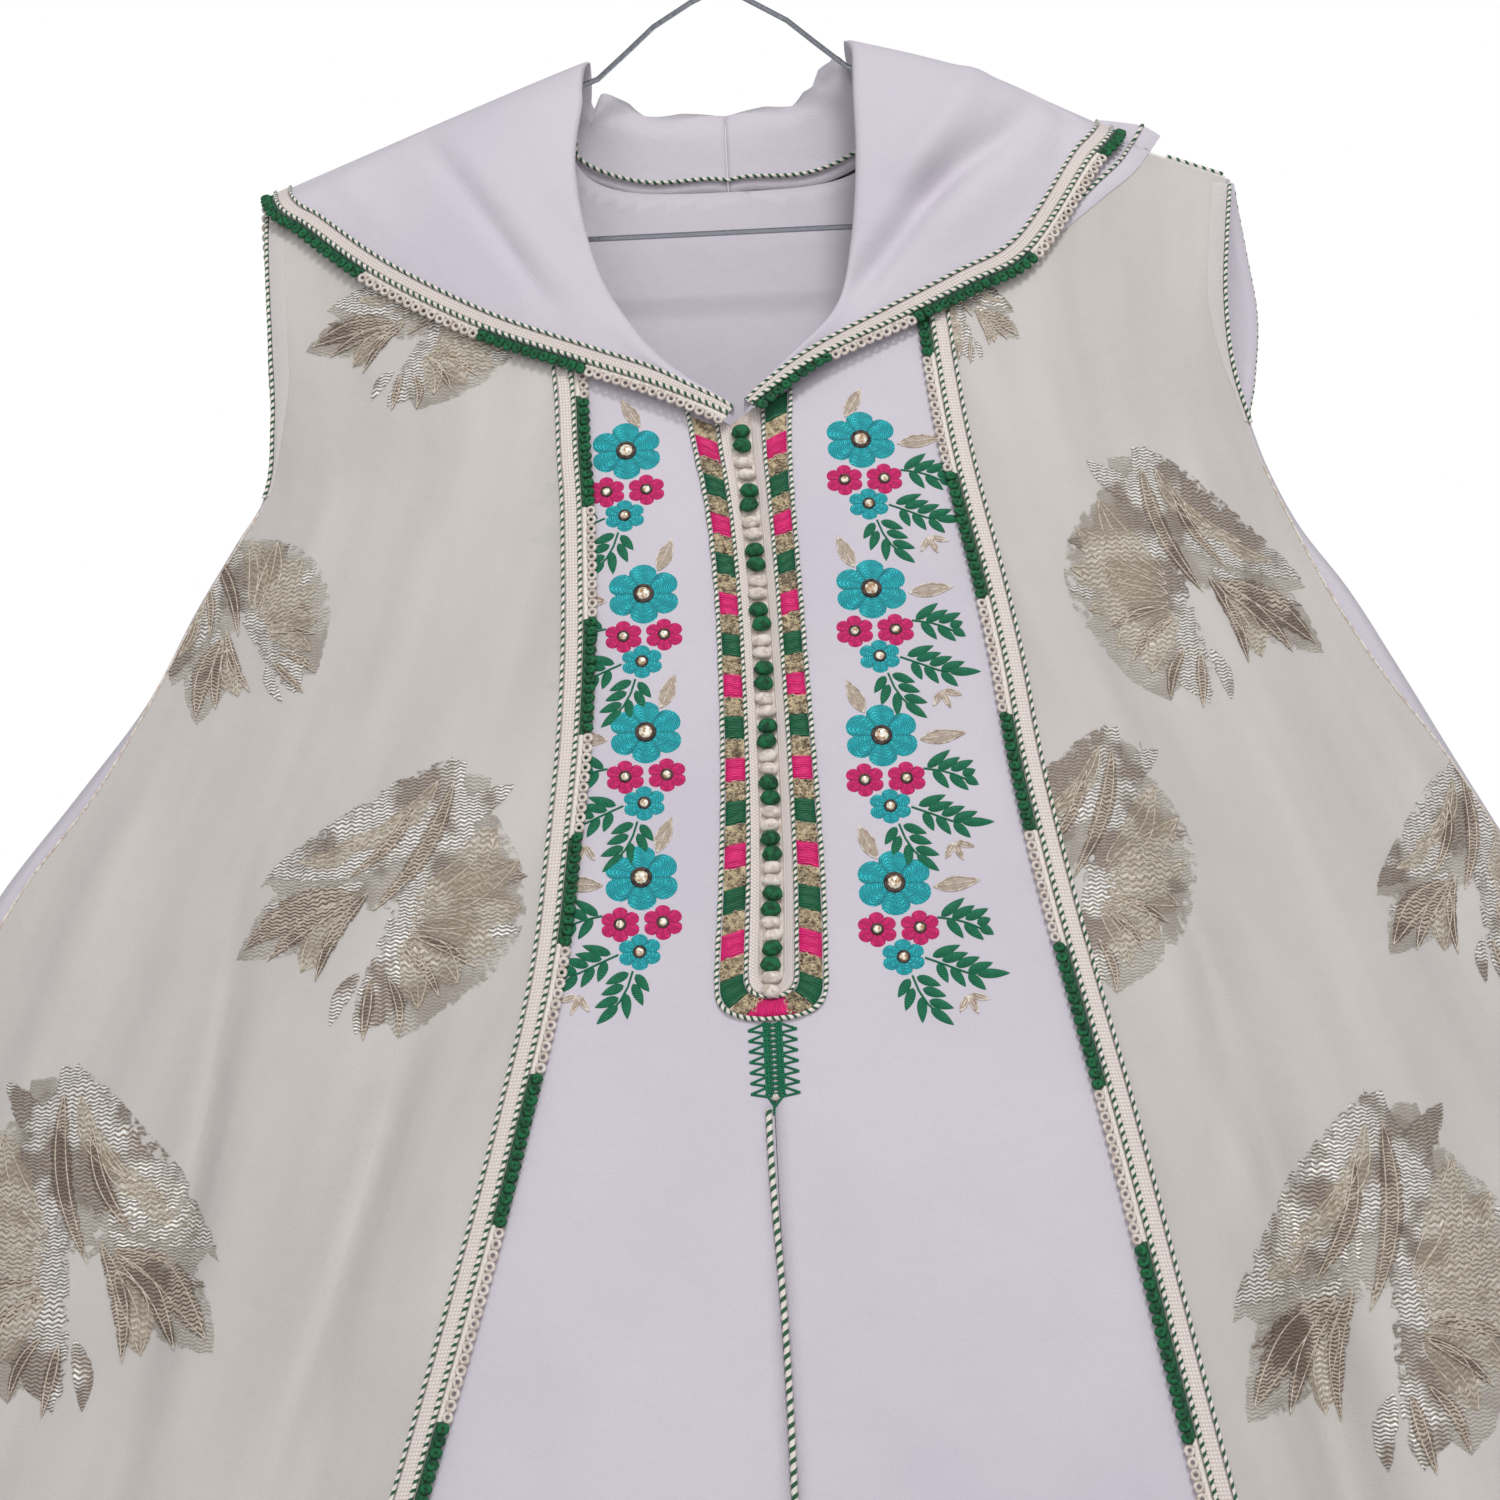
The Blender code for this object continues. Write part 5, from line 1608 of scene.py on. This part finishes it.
def make_edge_stitches():
    """An overlocked thread along the outer edge of each sheer panel."""
    for side, word, table in SIDES:
        for face, place, column in FACES:
            drops = np.arange(286.0, HEM, 2.0)
            x = side * (read(table, column, drops) - read(table, INSET, drops) - 0.4)
            path, up = skin(x, drops, face, SHEER_AT + 0.2, normals=True)
            cord_piece("overlock_%s_%s" % (word, place), path, up, 0.75, 5.2, 2.0, 6, CREAM_LOOK)


# camera, light and floor

TILT = math.radians(16)
ROLL = math.radians(2.8)
LENS_PIXELS = 2300.0
DISTANCE = 1.05
AIM = Vector((-0.003, -0.045, -0.502))


# lamps: name, place, what it aims at, width in metres and power in watts
LAMPS = (
    ("key", (0.4, -2.3, 1.3), (0, 0, -0.5), 0.7, 36),
    ("fill", (-0.2, -3.4, 0.0), (0, 0, -0.6), 3.0, 40),
    ("back", (0.3, 3.4, 0.3), (0, 0, -0.8), 3.0, 46),
)
FLOOR_DROP = 2.1


def make_camera():
    ahead = Vector((0, math.cos(TILT), math.sin(TILT)))
    place = AIM - DISTANCE * ahead
    level = Vector((1, 0, 0))
    above = level.cross(ahead)
    right = level * math.cos(ROLL) - above * math.sin(ROLL)
    up = level * math.sin(ROLL) + above * math.cos(ROLL)
    data = bpy.data.cameras.new("camera")
    data.sensor_width = 36
    data.lens = 36 * LENS_PIXELS / 1500
    data.clip_start = 0.01
    camera = bpy.data.objects.new("camera", data)
    camera.matrix_world = Matrix((
        (right.x, up.x, -ahead.x, place.x),
        (right.y, up.y, -ahead.y, place.y),
        (right.z, up.z, -ahead.z, place.z),
        (0, 0, 0, 1)))
    bpy.context.scene.collection.objects.link(camera)
    bpy.context.scene.camera = camera


def add_lamp(name, place, aim, size, power):
    data = bpy.data.lights.new(name, "AREA")
    data.shape = "DISK"
    data.size = size
    data.energy = power
    lamp = bpy.data.objects.new(name, data)
    lamp.location = place
    lamp.rotation_euler = (Vector(aim) - Vector(place)).to_track_quat("-Z", "Y").to_euler()
    bpy.context.scene.collection.objects.link(lamp)


def make_studio():
    world = bpy.data.worlds.new("studio")
    world.use_nodes = True
    nodes = world.node_tree.nodes
    soft = nodes["Background"]
    soft.inputs["Color"].default_value = (0.96, 0.97, 1.0, 1)
    soft.inputs["Strength"].default_value = 0.40
    white = nodes.new("ShaderNodeBackground")
    white.inputs["Color"].default_value = (1, 1, 1, 1)
    seen = nodes.new("ShaderNodeLightPath")
    mixed = nodes.new("ShaderNodeMixShader")
    links = world.node_tree.links
    links.new(seen.outputs["Is Camera Ray"], mixed.inputs["Fac"])
    links.new(soft.outputs["Background"], mixed.inputs[1])
    links.new(white.outputs["Background"], mixed.inputs[2])
    links.new(mixed.outputs["Shader"], nodes["World Output"].inputs["Surface"])
    bpy.context.scene.world = world
    bpy.context.scene.view_settings.view_transform = "Standard"
    bpy.ops.mesh.primitive_plane_add(size=14, location=(0, 0, -FLOOR_DROP))
    floor = bpy.context.object
    floor.name = "floor"
    floor.data.materials.append(crepe_look("pale_floor", (0.8, 0.8, 0.8), (0.785, 0.785, 0.79)))
    for lamp in LAMPS:
        add_lamp(*lamp)


make_camera()
make_studio()
make_dress()
make_overdress()
make_hood()
make_long_braids()
make_placket()
make_knots()
make_ladder()
make_center_cord()
make_embroidery()
make_brocade()
make_facing()
make_armhole_cords()
make_shoulder_cord()
make_edge_stitches()
make_neck_cord()
hanger = bpy.data.objects["hanger"]
hanger.material_slots[0].material = WIRE_LOOK
